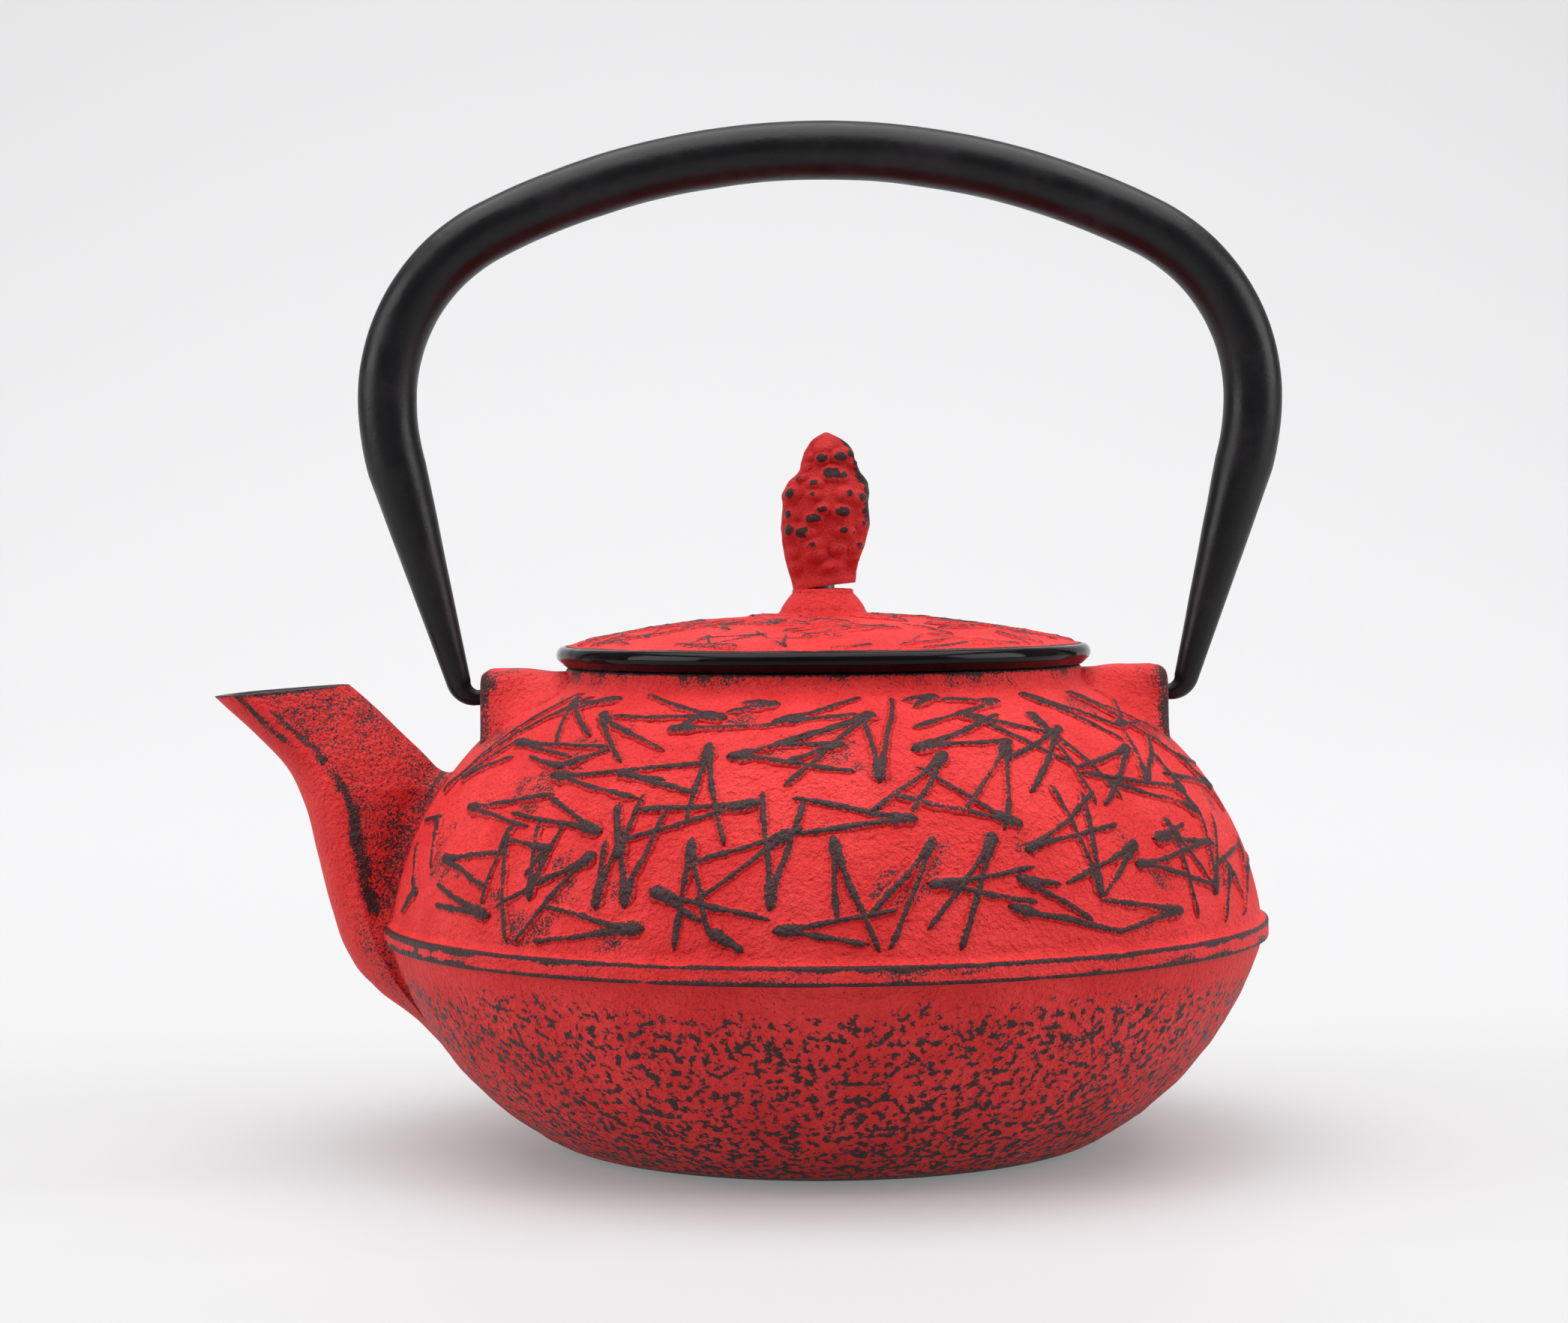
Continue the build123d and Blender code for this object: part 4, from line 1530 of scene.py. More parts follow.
    def scattered_pairs(self, draw: np.random.Generator, row_gap: float, gap: float,
                        length: Spot) -> Array:
        """Needle pairs strewn evenly over the whole surface, in mixed directions.

        Args:
            draw: random numbers.
            row_gap: distance between rows.
            gap: distance between pairs in a row.
            length: shortest and longest needle.

        Returns:
            Turn and distance of each needle's head, then of its tip, kept on the surface.
        """
        far = self.along()[-1]
        rows: list[list[Array]] = [[], []]
        for level in np.arange(0.5 * row_gap, far, row_gap):
            radius = float(np.interp(level, self.along(), self.outline[:, 0]))
            count = max(3, round(math.tau * radius / gap))
            turn = (np.arange(count) + draw.uniform(0, 1)) * math.tau / count
            turn = turn + draw.uniform(-0.4, 0.4, count) * gap / radius
            distance = np.clip(level + draw.uniform(-0.45, 0.45, count) * row_gap, 0.5, far - 0.5)
            heading = draw.uniform(0, math.tau, count)
            spread = np.radians(draw.uniform(10, 34, count))
            for half, column in zip((-0.5, 0.5), rows):
                reach = draw.uniform(*length, count)
                climb = reach * np.sin(heading + half * spread)
                over = reach * np.cos(heading + half * spread)
                end = np.clip(distance + climb, 0.4, far - 0.4)
                middle = np.interp(0.5 * (distance + end), self.along(), self.outline[:, 0])
                column.append(np.stack([turn, distance, turn + over / middle, end], axis=1))
        return np.concatenate(rows[0] + rows[1])


# ---------------------------------------------------------------- lid and knob
@dataclass
class Lid:
    """The lid: low dome, enamelled rim, boss, underside and locating skirt.

    Fields:
        radius: radius of the rim, from the frame.
        rim_low: height of the rim's lower edge.
        crown: height of the dome's middle.
        crown_radius: radius of the ball that the dome is a part of.
        wall: thickness of the dome.
        skirt: outer radius of the locating skirt.
        skirt_wall: its thickness.
        skirt_low: height of its lower edge.
        seat: height of the flat underside of the rim.
        boss_radius: radius of the boss under the knob.
        boss_top: height of its top.
        boss_neck: height where its straight top ends and the bell begins.
        rim_edge: (radius, height) where paint ends and enamel begins.
        swell_depth: height of the slow swells of the dome.
        columns: steps round.
    """

    radius: float
    rim_low: float = 81.85
    crown: float = 89.5
    crown_radius: float = 188.0
    wall: float = 3.0
    skirt: float = 35.3
    skirt_wall: float = 2.0
    skirt_low: float = 74.0
    seat: float = 80.9
    boss_radius: float = 5.2
    boss_top: float = 93.8
    boss_neck: float = 92.95
    rim_edge: Spot = (43.9, 84.25)
    swell_depth: float = 0.22
    columns: int = 420

    def dome(self, radius: Array, drop: float = 0.0) -> Array:
        """Height of the round crown, or of its underside when drop is the wall."""
        ball = self.crown_radius - drop
        return self.crown - self.crown_radius + np.sqrt(ball * ball - radius * radius)

    def top_outline(self) -> Array:
        """Dome outline from the boss out to the rim, for the relief."""
        radius = np.linspace(9.0, 43.0, 40)
        return np.stack([radius, self.dome(radius)], axis=1)

    def outline(self) -> tuple[Array, int]:
        """Whole profile from the boss's top to the middle of the underside.

        Returns:
            The (radius, height) outline, and the number of its rows that are painted.
        """
        dome_radius = np.linspace(8.4, 43.2, 56)
        dome = np.stack([dome_radius, self.dome(dome_radius)], axis=1)
        edge, boss, top, neck = self.radius, self.boss_radius, self.boss_top, self.boss_neck
        bell = (7.05, 90.5)
        paint = join_runs([
            line((0.6, top), (boss - 0.5, top), 3),
            arc([(boss - 0.5, top), (boss - 0.1, top - 0.15), (boss, top - 0.6)], 4),
            line((boss, top - 0.6), (boss + 0.05, neck), 3),
            arc([(boss + 0.05, neck), (6.15, 91.9), bell], 8),
            arc([bell, (7.5, 89.7), (8.4, float(dome[0, 1]))], 5),
            dome,
            line(tuple(dome[-1]), self.rim_edge, 3),
        ])
        inner = self.skirt - self.skirt_wall
        under = np.linspace(inner, 1.0, 14)
        rim = join_runs([
            arc([self.rim_edge, (44.7, 84.12), (edge - 0.12, 83.55)], 6),
            arc([(edge - 0.12, 83.55), (edge + 0.06, 82.9), (edge - 0.2, self.rim_low + 0.1)], 8),
            line((edge - 0.35, self.rim_low), (self.rim_edge[0], self.seat), 4),
            line((43.6, self.seat), (self.skirt + 0.4, self.seat), 3),
            line((self.skirt, self.seat - 0.4), (self.skirt, self.skirt_low + 0.3), 4),
            line((self.skirt - 0.3, self.skirt_low), (inner + 0.3, self.skirt_low), 2),
            line((inner, self.skirt_low + 0.3), (inner, float(self.dome(under, self.wall)[0])), 4),
            np.stack([under, self.dome(under, self.wall)], axis=1),
        ])
        return np.concatenate([paint, rim[1:]]), len(paint)

    def build(self, paint: Material, enamel: Material) -> Piece:
        """Make the lid.

        Args:
            paint: finish of the dome and boss.
            enamel: finish of the rim and underside.

        Returns:
            The piece, riding on the lid and standing for its casting.
        """
        outline, painted = self.outline()
        rings = turned(outline, self.columns)
        normals = turned(outline_normals(outline), self.columns)
        radius = np.hypot(rings[..., 0], rings[..., 1])
        top = (np.arange(len(outline)) < painted)[:, None]
        swell = self.swell_depth * layered_noise(rings, 7.0, 61) * smooth_step(radius, 8.5, 12.0)
        swell = swell * smooth_step(radius, 44.2, 42.5)
        lump = 0.10 * layered_noise(rings, 5.0, 62)
        push = np.where(top, swell + lump * (radius < 8.5), 0.05 * lattice_noise(rings, 6.0, 63))
        push = np.where(rings[..., 2] < self.seat + 0.2, 0.0, push)
        ragged = 0.25 * lattice_noise(rings, 3.0, 64) + 0.12 * lattice_noise(rings, 1.0, 65)
        by_rim = smooth_step(radius, 42.9, 43.8) * (0.9 + ragged)
        patches = 0.34 * smooth_step(layered_noise(rings, 9.0, 66), 0.2, 0.6)
        rub = np.where(top, np.maximum(by_rim, patches), 1.0)
        rings = rings + normals * push[..., None]
        row_finish = np.where(np.arange(len(outline) - 1) < painted - 1, 0, 1)
        start = np.array([[0.0, 0.0, self.boss_top]])
        end = np.array([[0.0, 0.0, self.crown - self.wall]])
        skin = Skin(rings[None], rub[None], start, end, row_finish)
        piece = make_piece("lid_skin", skin, [paint, enamel])
        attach(piece, "lid")
        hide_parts("lid")
        return piece


@dataclass
class Knob:
    """The pine-cone knob: a leaning turned core with rows of rounded scales.

    Fields:
        low: height of its foot, from the frame.
        high: height of its tip, from the frame.
        levels: heights of the guide radii, 0 at the foot and 1 at the tip.
        left: radii on the spout side at those heights.
        right: radii on the back side at those heights.
        flat: depth of the core as a share of its width.
        scales: number of scales.
        scale_size: radius of a scale.
        scale_rise: how far a scale stands out.
        lump_depth: height of the lumps of the casting.
        seam_wear: how far the casting's seam is rubbed.
        lean: slope of the foot.
        shift: how far the foot is moved over, and what is added towards the tip.
        columns: points round a section.
        rows: sections.
    """

    low: float
    high: float
    levels: tuple[float, ...] = (
        0.0, 0.07, 0.17, 0.28, 0.40, 0.52, 0.62, 0.68, 0.74, 0.82, 0.90, 0.965, 1.0)
    left: tuple[float, ...] = (5.3, 5.7, 6.5, 7.1, 7.2, 7.3, 7.3, 6.5, 4.7, 4.0, 3.2, 1.9, 0.3)
    right: tuple[float, ...] = (5.3, 5.6, 6.2, 6.9, 7.4, 7.5, 7.3, 6.8, 6.0, 5.1, 4.3, 2.2, 0.3)
    flat: float = 0.90
    scales: int = 72
    scale_size: float = 2.15
    scale_rise: float = 1.7
    lump_depth: float = 0.35
    seam_wear: float = 0.9
    lean: float = 0.07
    shift: Spot = (0.25, 0.5)
    columns: int = 190
    rows: int = 170

    def core(self) -> Array:
        """Smooth core: left and right radii blended with the cosine of the turn.

        Returns:
            Points (rows, columns, 3), the rows closer together towards the tip.
        """
        share = 1 - (1 - np.linspace(0, 1, self.rows)) ** 1.35
        angle = round_angles(self.columns)
        left = smooth_curve(share, self.levels, self.left)[:, None]
        right = smooth_curve(share, self.levels, self.right)[:, None]
        blend = 0.5 + 0.5 * np.cos(angle)[None, :]
        radius = np.maximum(left * (1 - blend) + right * blend, 0.25)
        height = self.low + (self.high - self.low) * share
        x = radius * np.cos(angle)
        y = radius * self.flat * np.sin(angle)
        return np.stack([x, y, np.repeat(height[:, None], self.columns, 1)], axis=-1)

    def bumps(self, rings: Array) -> Array:
        """Height of the rounded scales, set on a golden spiral round the core.

        Args:
            rings: places on the core.

        Returns:
            0 between the scales to 1 on the tallest: at each place the highest of 1 minus the
            distance to a scale's middle, in scale sizes, to the power 1.9.
        """
        order = np.arange(self.scales)
        share = 0.10 + 0.82 * (order + 0.5) / self.scales + 0.022 * np.sin(5.7 * order)
        turn = order * GOLDEN_TURN + 0.22 * np.sin(12.9 * order)
        radius = smooth_curve(share, self.levels, self.right)
        centre = np.stack([
            radius * np.cos(turn),
            radius * self.flat * np.sin(turn),
            self.low + (self.high - self.low) * share,
        ], axis=1)
        best = np.zeros(rings.shape[:-1])
        for k, place in enumerate(centre):
            gap = rings - place
            size = self.scale_size * (1.0 + 0.22 * math.sin(7.3 * k))
            far = np.sqrt((gap[..., :2] ** 2).sum(-1) * 0.8 + (gap[..., 2] * 1.45) ** 2) / size
            tall = 0.84 + 0.16 * math.sin(4.1 * k)
            best = np.maximum(best, tall * (1.0 - np.clip(far, 0, 1) ** 1.9))
        return best

    def build(self, paint: Material) -> Piece:
        """Make the knob.

        Args:
            paint: its finish.

        Returns:
            The piece, riding on the knob's body.
        """
        rings = self.core()
        share = (rings[..., 2] - self.low) / (self.high - self.low)
        bump = self.bumps(rings) * smooth_step(share, 0.03, 0.12)
        out = unit(rings * np.array([1.0, 1.0, 0.0]))
        face = smooth_step(np.abs(out[..., 1]), 0.10, 0.50)
        lump = self.lump_depth * layered_noise(rings, 3.6, 71) * smooth_step(share, 0.02, 0.12)
        push = self.scale_rise * (bump - 0.75) * smooth_step(share, 0.02, 0.10) * face + lump
        push = push * smooth_step(share, 1.0, 0.86)
        chosen = 1.0 + 0.4 * lattice_noise(rings, 3.6, 72)
        worn = bump + 0.14 * lattice_noise(rings, 1.1, 73)
        rub = smooth_step(worn, 0.52, 0.78) * chosen * face
        rub = rub * smooth_step(share, 0.14, 0.30) * smooth_step(share, 0.94, 0.84)
        seam = smooth_step(np.abs(out[..., 1]), 0.46, 0.26) * smooth_step(share, 0.26, 0.46)
        seam = seam * smooth_step(rings[..., 0], -3.0, 1.0)
        rub = np.maximum(rub, self.seam_wear * seam)
        rings = rings + out * push[..., None]
        dip = 0.4 * smooth_step(rings[..., 0], 2.0, -4.0) * smooth_step(share, 0.2, 0.0)
        rings[..., 2] += self.lean * rings[..., 0] * (1 - share) - dip
        rings[..., 0] += self.shift[0] + self.shift[1] * share
        piece = make_piece("pine_cone_knob", Skin(rings[None], rub[None]), [paint])
        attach(piece, "knob")
        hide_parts("knob")
        return piece


# ---------------------------------------------------------------- handle
@dataclass
class Handle:
    """The bail: round tube on arcs, tapering down the legs into hooks and pins.

    Fields:
        crown: height of the tube's centreline over the middle, from the frame.
        pivot: height of the pins, from the joint.
        pin_end: distance of the pins' ends from the axis.
        tube: radius of the tube over the crown.
        crown_arc: radius of the crown's arc.
        crown_turn: degrees that the crown turns through on each side.
        shoulder_arc: radius of the bend into the leg.
        leg_arc: radius of the slight bend below it.
        leg_tilt: degrees that the straight leg leans in.
        tube_end: radius of the bar where the taper ends.
        taper: length of the taper.
        rod: radius of the bar above the hook.
        pin: radius of the pin.
        hook: radius of the hook's bend.
        points: points on crown, shoulder, leg bend, straight leg, hook and pin.
        swell_depth: height of the dents in the tube.
        columns: points round a section.
    """

    crown: float
    pivot: float
    pin_end: float = 53.6
    tube: float = 4.97
    crown_arc: float = 124.5
    crown_turn: float = 26.7
    shoulder_arc: float = 32.1
    leg_arc: float = 43.5
    leg_tilt: float = 15.4
    tube_end: float = 2.65
    taper: float = 30.0
    rod: float = 2.05
    pin: float = 1.32
    hook: float = 3.2
    points: tuple[int, ...] = (60, 46, 14, 46, 18, 8)
    swell_depth: float = 0.07
    columns: int = 56

    def half_line(self) -> tuple[Array, Array]:
        """Centreline of the +X half, from the middle of the crown to the pin's end.

        Returns:
            (x, z) points and the bar's radius at each.
        """
        turn, tilt = math.radians(self.crown_turn), math.radians(self.leg_tilt)
        level = math.pi / 2
        at_crown, at_shoulder, at_leg, at_straight, at_hook, at_pin = self.points
        a = np.linspace(0, turn, at_crown)
        drop = self.crown_arc * (1 - np.cos(a))
        crown = np.stack([self.crown_arc * np.sin(a), self.crown - drop], 1)
        a = np.linspace(turn, level, at_shoulder)
        bend = np.stack([np.sin(a) - math.sin(turn), np.cos(a) - math.cos(turn)], 1)
        shoulder = crown[-1] + self.shoulder_arc * bend
        a = np.linspace(level, level + tilt, at_leg)
        leg = shoulder[-1] + self.leg_arc * np.stack([np.sin(a) - 1, np.cos(a)], 1)
        down = np.array([-math.sin(tilt), -math.cos(tilt)])
        drop = (leg[-1][1] - self.pivot) / math.cos(tilt)
        back = self.hook * math.tan((level - tilt) / 2)
        straight = leg[-1] + down * np.linspace(0, drop - back, at_straight)[:, None]
        a = np.linspace(level + tilt, math.pi, at_hook)
        end_x = straight[-1][0] - self.hook * math.cos(tilt)
        centre = np.array([end_x, self.pivot + self.hook])
        hook = centre + self.hook * np.stack([np.sin(a), np.cos(a)], 1)
        pin = line((float(hook[-1][0]), self.pivot), (self.pin_end, self.pivot), at_pin)
        points = join_runs([crown, shoulder, leg, straight, hook, pin])
        leg_start = sum(step_lengths(run).sum() for run in (crown, shoulder, leg))
        bend_start = leg_start + drop - back
        bend_end = bend_start + step_lengths(hook).sum()
        radius = np.interp(
            travelled(points),
            [0, leg_start, leg_start + self.taper, bend_start, bend_end, bend_end + 1],
            [self.tube, self.tube, self.tube_end, self.rod, self.pin, self.pin],
        )
        return points, radius

    def build(self, finish: Material) -> Piece:
        """Make the whole handle as one bar.

        Args:
            finish: its paint.

        Returns:
            The piece, riding on the bail and standing for tube and hooks.
        """
        half, radius = self.half_line()
        mirrored = half[::-1][:-1] * np.array([-1.0, 1.0])
        points = np.concatenate([mirrored, half])
        radii = np.concatenate([radius[::-1][:-1], radius])
        path = np.stack([points[:, 0], np.zeros(len(points)), points[:, 1]], axis=1)
        side = np.tile([0.0, 1.0, 0.0], (len(path), 1))
        up = np.cross(side, unit(np.gradient(path, axis=0)))
        angle = round_angles(self.columns)
        across, rise = radii[:, None] * np.cos(angle), radii[:, None] * np.sin(angle)
        rings = carried(path, side, up, across, rise)
        out = unit(rings - path[:, None, :])
        free = self.swell_depth * smooth_step(radii, self.pin, self.tube)[:, None]
        rings = rings + out * (free * layered_noise(rings, 9.0, 81))[..., None]
        skin = Skin(rings[None], np.zeros((1, *rings.shape[:2])))
        piece = make_piece("handle_bar", skin, [finish])
        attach(piece, "bail")
        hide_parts("bail_tube", "bail_hook_spout_side", "bail_hook_back_side")
        return piece


# ---------------------------------------------------------------- infuser basket
@dataclass
class InfuserCloth:
    """Woven wire of the basket: uprights and hoops for the wall, a square weave for the floor.

    Fields:
        radius: middle radius of the wall's cloth.
        low: height of the floor.
        high: top of the cloth.
        half: half the thickness of the cloth.
        pitch: distance between wires.
        wire: radius of a wire.
        columns: points round a wire.
    """

    radius: float
    low: float
    high: float
    half: float = 0.35
    pitch: float = 1.5
    wire: float = 0.17
    columns: int = 5

    def wires(self, path: Array, up: Array) -> Array:
        """Round wires along paths.

        Args:
            path: (wires, rows, 3) centrelines.
            up: (wires, rows, 3) unit vectors roughly square to them.

        Returns:
            Rings of the wires.
        """
        side = np.cross(unit(np.gradient(path, axis=1)), up)
        angle = round_angles(self.columns)
        shape = (*path.shape[:2], self.columns)
        across = np.broadcast_to(self.wire * np.cos(angle), shape)
        rise = np.broadcast_to(self.wire * np.sin(angle), shape)
        return carried(path, side, up, across, rise)

    def wall(self, finish: Material) -> list[Piece]:
        """Uprights and hoops, each weaving in and out by a wire's thickness.

        Args:
            finish: the wire's finish.

        Returns:
            The two pieces.
        """
        count = 2 * round(math.tau * self.radius / self.pitch / 2)
        levels = round((self.high - self.low) / self.pitch)
        turn = round_angles(count)[:, None]
        height = np.linspace(self.low + 0.1, self.high, 2 * levels + 1)[None, :]
        flip = np.where(np.arange(count) % 2 == 0, 1.0, -1.0)[:, None]
        radius = self.radius + flip * self.wire * np.cos(np.pi * (height - self.low) / self.pitch)
        flat = 0 * radius
        out = np.stack([np.cos(turn) + flat, np.sin(turn) + flat, flat], -1)
        upright = np.stack([radius * np.cos(turn), radius * np.sin(turn), height + flat], -1)
        angle = np.linspace(0, math.tau, 2 * count + 1)[None, :]
        level = (self.low + self.pitch * (np.arange(levels) + 0.5))[:, None]
        turnover = np.where(np.arange(levels) % 2 == 0, -1.0, 1.0)[:, None]
        hoop_radius = self.radius + turnover * self.wire * np.cos(0.5 * count * angle)
        flat = 0 * hoop_radius
        hoop_out = np.stack([np.cos(angle) + flat, np.sin(angle) + flat, flat], -1)
        hoop = hoop_radius[..., None] * hoop_out + np.stack([flat, flat, level + flat], -1)
        made = []
        for name, path, up in (
            ("infuser_uprights", upright, out),
            ("infuser_hoops", hoop, hoop_out),
        ):
            rings = self.wires(path, up)
            made.append(make_piece(name, Skin(rings, np.zeros(rings.shape[:3])), [finish]))
        return made

    def floor(self, finish: Material) -> Piece:
        """Square weave of the floor, cut round.

        Args:
            finish: the wire's finish.

        Returns:
            The piece.
        """
        count = round(2 * self.radius / self.pitch)
        offset = (np.arange(count) + 0.5) * self.pitch - 0.5 * count * self.pitch
        offset = offset[np.abs(offset) < self.radius - 0.6][:, None]
        reach = np.sqrt(self.radius**2 - offset**2)
        run = np.linspace(-1, 1, 2 * count)[None, :] * reach
        flip = np.where(np.arange(len(offset)) % 2 == 0, 1.0, -1.0)[:, None]
        wave = self.low + self.half + flip * self.wire * np.cos(np.pi * run / self.pitch)
        one = np.stack([run, offset + 0 * run, wave], axis=-1)
        other = np.stack([offset + 0 * run, run, 2 * (self.low + self.half) - wave], axis=-1)
        path = np.concatenate([one, other])
        up = np.zeros_like(path)
        up[..., 2] = 1.0
        rings = self.wires(path, up)
        return make_piece("infuser_floor_cloth", Skin(rings, np.zeros(rings.shape[:3])), [finish])

    def build(self, finish: Material) -> list[Piece]:
        """Make wall and floor and put them on the infuser's body.

        Args:
            finish: the wire's finish.

        Returns:
            The pieces.
        """
        walls, floor = self.wall(finish), self.floor(finish)
        for piece in walls:
            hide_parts("infuser_wall")
        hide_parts("infuser_floor")
        for piece in [*walls, floor]:
            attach(piece, "infuser")
        return [*walls, floor]


# ---------------------------------------------------------------- studio
@dataclass(frozen=True)
class SoftBox:
    """One rectangular lamp; places and sizes are in metres.

    Fields:
        name: name of the lamp.
        place: where it stands.
        size: its width and height.
        power: its power in watts.
        target: what it is aimed at.
    """

    name: str
    place: Place
    size: Spot
    power: float
    target: Place = (0.0, 0.0, 0.06)

    def build(self) -> None:
        """Add the lamp to the scene."""
        data = bpy.data.lights.new(self.name, "AREA")
        data.shape = "RECTANGLE"
        data.size, data.size_y = self.size
        data.energy = self.power
        lamp = bpy.data.objects.new(self.name, data)
        aim = (Vector(self.target) - Vector(self.place)).to_track_quat("-Z", "Y")
        lamp.matrix_world = Matrix.Translation(self.place) @ aim.to_matrix().to_4x4()
        bpy.context.scene.collection.objects.link(lamp)


@dataclass
class Studio:
    """Camera, soft boxes, a dim even world and a seamless paper sweep.

    Fields:
        distance: camera's level distance from the pot's axis.
        height: camera's height over the floor.
        turn: camera's turn round the pot, degrees, towards the spout when negative.
        aim: how far the camera looks to the left of the axis, degrees.
        dip: how far it looks down, degrees.
        roll: its roll, degrees.
        lens: focal length.
        sensor: width of the sensor.
        sky: colour of the world.
        sky_strength: strength of the world.
        boxes: the lamps.
        sweep: guides of the paper's bend, (distance behind, height) in metres.
        near: how far the paper comes forward, in metres.
        top: how high it goes, in metres.
        half_width: half its width, in metres.
    """

    distance: float = 585.75
    height: float = 100.0
    turn: float = -2.0
    aim: float = 0.656
    dip: float = 1.82
    roll: float = -0.45
    lens: float = 78.94
    sensor: float = 36.0
    sky: Colour = (0.96, 0.96, 1.0)
    sky_strength: float = 0.15
    boxes: tuple[SoftBox, ...] = (
        SoftBox("overhead", (0.0, -0.15, 1.7), (2.8, 2.2), 64.0),
        SoftBox("left", (-1.3, -0.35, 0.55), (0.9, 0.9), 10.0),
        SoftBox("right", (1.3, -0.35, 0.55), (0.9, 0.9), 10.0),
        SoftBox("backdrop", (0.0, 0.9, 1.8), (3.0, 0.6), 52.0, (0.0, 2.7, 0.6)),
    )
    sweep: tuple[Spot, ...] = ((1.0, 0.0), (2.41, 0.59), (3.0, 2.0))
    near: float = -4.0
    top: float = 5.0
    half_width: float = 5.0

    def camera(self) -> None:
        """Set the camera: turned round the pot, then aimed aside, dipped and rolled."""
        data = bpy.data.cameras.new("camera")
        data.lens = self.lens
        data.sensor_width = self.sensor
        data.clip_start = 0.01
        camera = bpy.data.objects.new("camera", data)
        turn = math.radians(self.turn)
        place = Vector((math.sin(turn), -math.cos(turn), 0.0)) * self.distance
        place.z = self.height
        heading = Matrix.Rotation(math.radians(self.turn + self.aim), 4, "Z")
        pitch = Matrix.Rotation(math.radians(90 - self.dip), 4, "X")
        roll = Matrix.Rotation(math.radians(self.roll), 4, "Z")
        camera.matrix_world = Matrix.Translation(place * MM) @ (heading @ pitch) @ roll
        bpy.context.scene.collection.objects.link(camera)
        bpy.context.scene.camera = camera

    def paper(self, finish: Material) -> None:
        """Floor that curves up into a wall far behind, as one sheet.

        Args:
            finish: the paper's finish.
        """
        foot, head = self.sweep[0], self.sweep[-1]
        profile = np.concatenate([
            line((self.near, foot[1]), foot, 12)[:-1],
            arc(list(self.sweep), 40),
            line(head, (head[0], self.top), 4)[1:],
        ])
        across = np.linspace(-self.half_width, self.half_width, 9)
        grid = np.broadcast_arrays(across[None, :], profile[:, :1], profile[:, 1:])
        places = np.stack(grid, axis=-1)
        rows, columns = places.shape[:2]
        first = (np.arange(rows - 1)[:, None] * columns + np.arange(columns - 1)).reshape(-1)
        faces = np.stack([first, first + 1, first + columns + 1, first + columns], axis=1)
        mesh = bpy.data.meshes.new("paper_sweep")
        mesh.from_pydata(places.reshape(-1, 3).tolist(), [], faces.tolist())
        mesh.polygons.foreach_set("use_smooth", np.ones(len(mesh.polygons), bool))
        mesh.materials.append(finish)
        sheet = bpy.data.objects.new("paper_sweep", mesh)
        bpy.context.scene.collection.objects.link(sheet)

    def build(self, paper: Material) -> None:
        """Set camera, lamps, world and paper.

        Args:
            paper: finish of the sweep.
        """
        self.camera()
        self.paper(paper)
        world = bpy.data.worlds.new("studio")
        world.use_nodes = True
        background = world.node_tree.nodes["Background"]
        background.inputs["Color"].default_value = (*self.sky, 1.0)
        background.inputs["Strength"].default_value = self.sky_strength
        bpy.context.scene.world = world
        for box in self.boxes:
            box.build()
        bpy.context.scene.view_settings.view_transform = "Standard"


# ---------------------------------------------------------------- assembly
def top_of(node: str) -> Vector:
    """Highest corner of a CAD node, in millimetres."""
    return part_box(node)[1] / MM


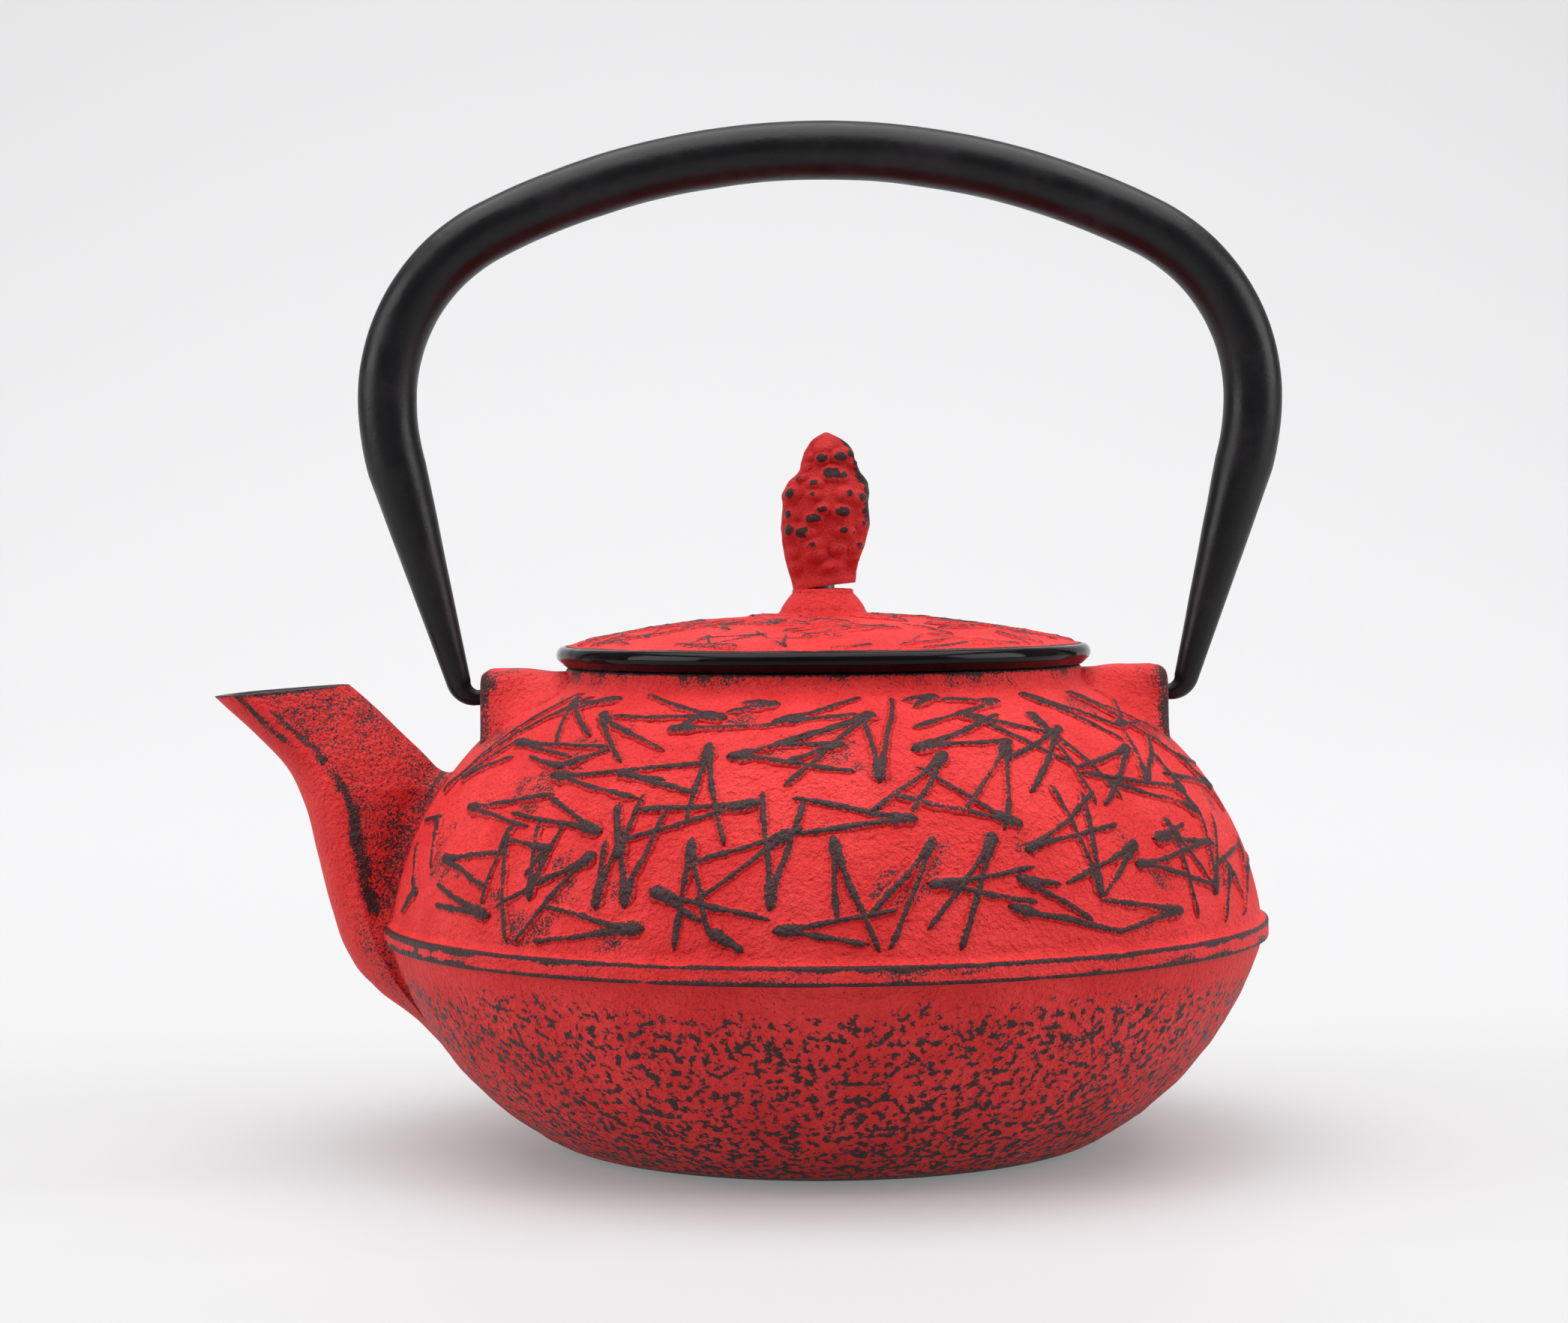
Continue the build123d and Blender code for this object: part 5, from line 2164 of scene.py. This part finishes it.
@dataclass
class PineRelief:
    """The needles of the pot's wall and of the lid.

    Fields:
        pot: the casting.
        lid: the lid.
        spout_clear: distance out to the spout's needle-free area, and half its width.
        ear_clear: the same for the ears, and its height.
        seed: seed of the lid's needles.
        row_gap: distance between rows on the lid.
        gap: distance between the pairs of a row.
        length: shortest and longest needle of the lid.
    """

    pot: PotCasting
    lid: Lid
    spout_clear: Spot = (60.0, 12.5)
    ear_clear: Place = (42.0, 11.5, 66.0)
    seed: int = 8
    row_gap: float = 5.6
    gap: float = 9.5
    length: Spot = (9.0, 16.0)

    def hidden(self, relief: NeedleRelief, needles: Array) -> Array:
        """Which needles run into the spout or an ear.

        Args:
            relief: the relief of the wall.
            needles: (turn, distance, turn, distance) of each needle's ends.

        Returns:
            True where a needle's start, middle or end is in a needle-free area.
        """
        out, beside, above = self.ear_clear
        hidden = np.zeros(len(needles), bool)
        for share in (0.0, 0.5, 1.0):
            spot = needles[:, :2] * (1 - share) + needles[:, 2:] * share
            x, y, z = relief.on_surface(spot[:, 0], spot[:, 1])[0].T
            hidden |= (x < -self.spout_clear[0]) & (np.abs(y) < self.spout_clear[1])
            hidden |= (np.abs(x) > out) & (np.abs(y) < beside) & (z > above)
        return hidden

    def wall(self, paint: Material) -> Piece:
        """Listed pairs on the front, and the same ones half a turn on at the back.

        Args:
            paint: the wall's finish.

        Returns:
            The piece, in place; a pair of needles that is hidden on one side goes on both.
        """
        relief = NeedleRelief(arc(self.pot.shoulder, 120))
        halves = [relief.placed_pairs(WALL_PAIRS, turn).reshape(2, -1, 4) for turn in (0.0, 180.0)]
        needles = np.concatenate(halves, axis=1).reshape(-1, 4)
        clear = ~self.hidden(relief, needles)
        clear = np.tile(clear.reshape(2, -1).all(axis=0), 2)
        piece = relief.build("pine_needles_wall", needles[clear], paint, 100)
        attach(piece, "pot")
        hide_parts("pot_body")
        LOG.info("%s: %d needles", piece.name, int(clear.sum()))
        return piece

    def dome(self, paint: Material) -> Piece:
        """Finer pairs scattered over the lid.

        Args:
            paint: the lid's finish.

        Returns:
            The piece, in place.
        """
        relief = NeedleRelief(
            self.lid.top_outline()[::-1], half_width=0.36, sheath_half_width=0.52, rise=0.28,
            sheath_rise=0.36, sheath=3.0, bare=0.56,
        )
        draw = np.random.default_rng(self.seed)
        needles = relief.scattered_pairs(draw, self.row_gap, self.gap, self.length)
        piece = relief.build("pine_needles_lid", needles, paint, 200)
        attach(piece, "lid")
        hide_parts("lid")
        LOG.info("%s: %d needles", piece.name, len(needles))
        return piece


def dress_cad(node: str, finish: Material) -> None:
    """Give a CAD node that stays visible its finish.

    Args:
        node: name of the node.
        finish: its finish.
    """
    mesh = bpy.data.objects[node].data
    mesh.materials.clear()
    mesh.materials.append(finish)


def main() -> None:
    """Load the frame and build every piece in order."""
    logging.basicConfig(level=logging.INFO, format="%(name)s %(message)s")
    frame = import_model()
    pot_paint = RubbedPaint("rubbed_red_paint").build()
    lid_paint = RubbedPaint("rubbed_red_lid", ragged=1.35).build()
    knob_paint = RubbedPaint("rubbed_red_knob", speck=0.4, grain=0.35).build()
    enamel = GlossEnamel("black_enamel").build()
    satin = SatinBlack("satin_black").build()
    stainless = Steel("stainless_sheet").build()
    wire = Steel("stainless_wire", (0.62, 0.61, 0.60), 0.18, 0.32).build()
    rivet = Steel("rivet_steel", (0.30, 0.29, 0.28), 0.35, 0.60).build()

    pot = PotCasting(belt_radius=top_of("pot_body").y, mouth_top=top_of("pot_body").z)
    LOG.info("%s built", pot.build(pot_paint, enamel).name)
    LOG.info("%s built", Spout(pot).build(pot_paint, enamel).name)
    for side in Side:
        LOG.info("%s built", Ear(side, pot).build(pot_paint).name)
    lid = Lid(radius=top_of("lid").x)
    LOG.info("%s built", lid.build(lid_paint, enamel).name)
    relief = PineRelief(pot, lid)
    LOG.info("%s built", relief.wall(pot_paint).name)
    LOG.info("%s built", relief.dome(lid_paint).name)
    knob = Knob(low=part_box("knob")[0].z / MM, high=top_of("knob").z)
    LOG.info("%s built", knob.build(knob_paint).name)
    hinge = next(joint for joint in frame["joints"] if joint["name"] == "bail_hinge")
    handle = Handle(crown=top_of("bail_tube").z - Handle.tube, pivot=hinge["pos_m"][2] / MM)
    LOG.info("%s built", handle.build(satin).name)
    wall_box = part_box("infuser_wall")
    middle = wall_box[1].x / MM - InfuserCloth.half
    cloth = InfuserCloth(middle, wall_box[0].z / MM, wall_box[1].z / MM)
    LOG.info("%s built", ", ".join(piece.name for piece in cloth.build(wire)))
    for node, finish in (("infuser_rim", stainless), ("infuser_hem", stainless),
                         ("knob_rivet", rivet), ("knob_washer", rivet)):
        dress_cad(node, finish)
    Studio().build(StudioPaper("studio_paper").build())


if __name__ == "__main__":
    main()
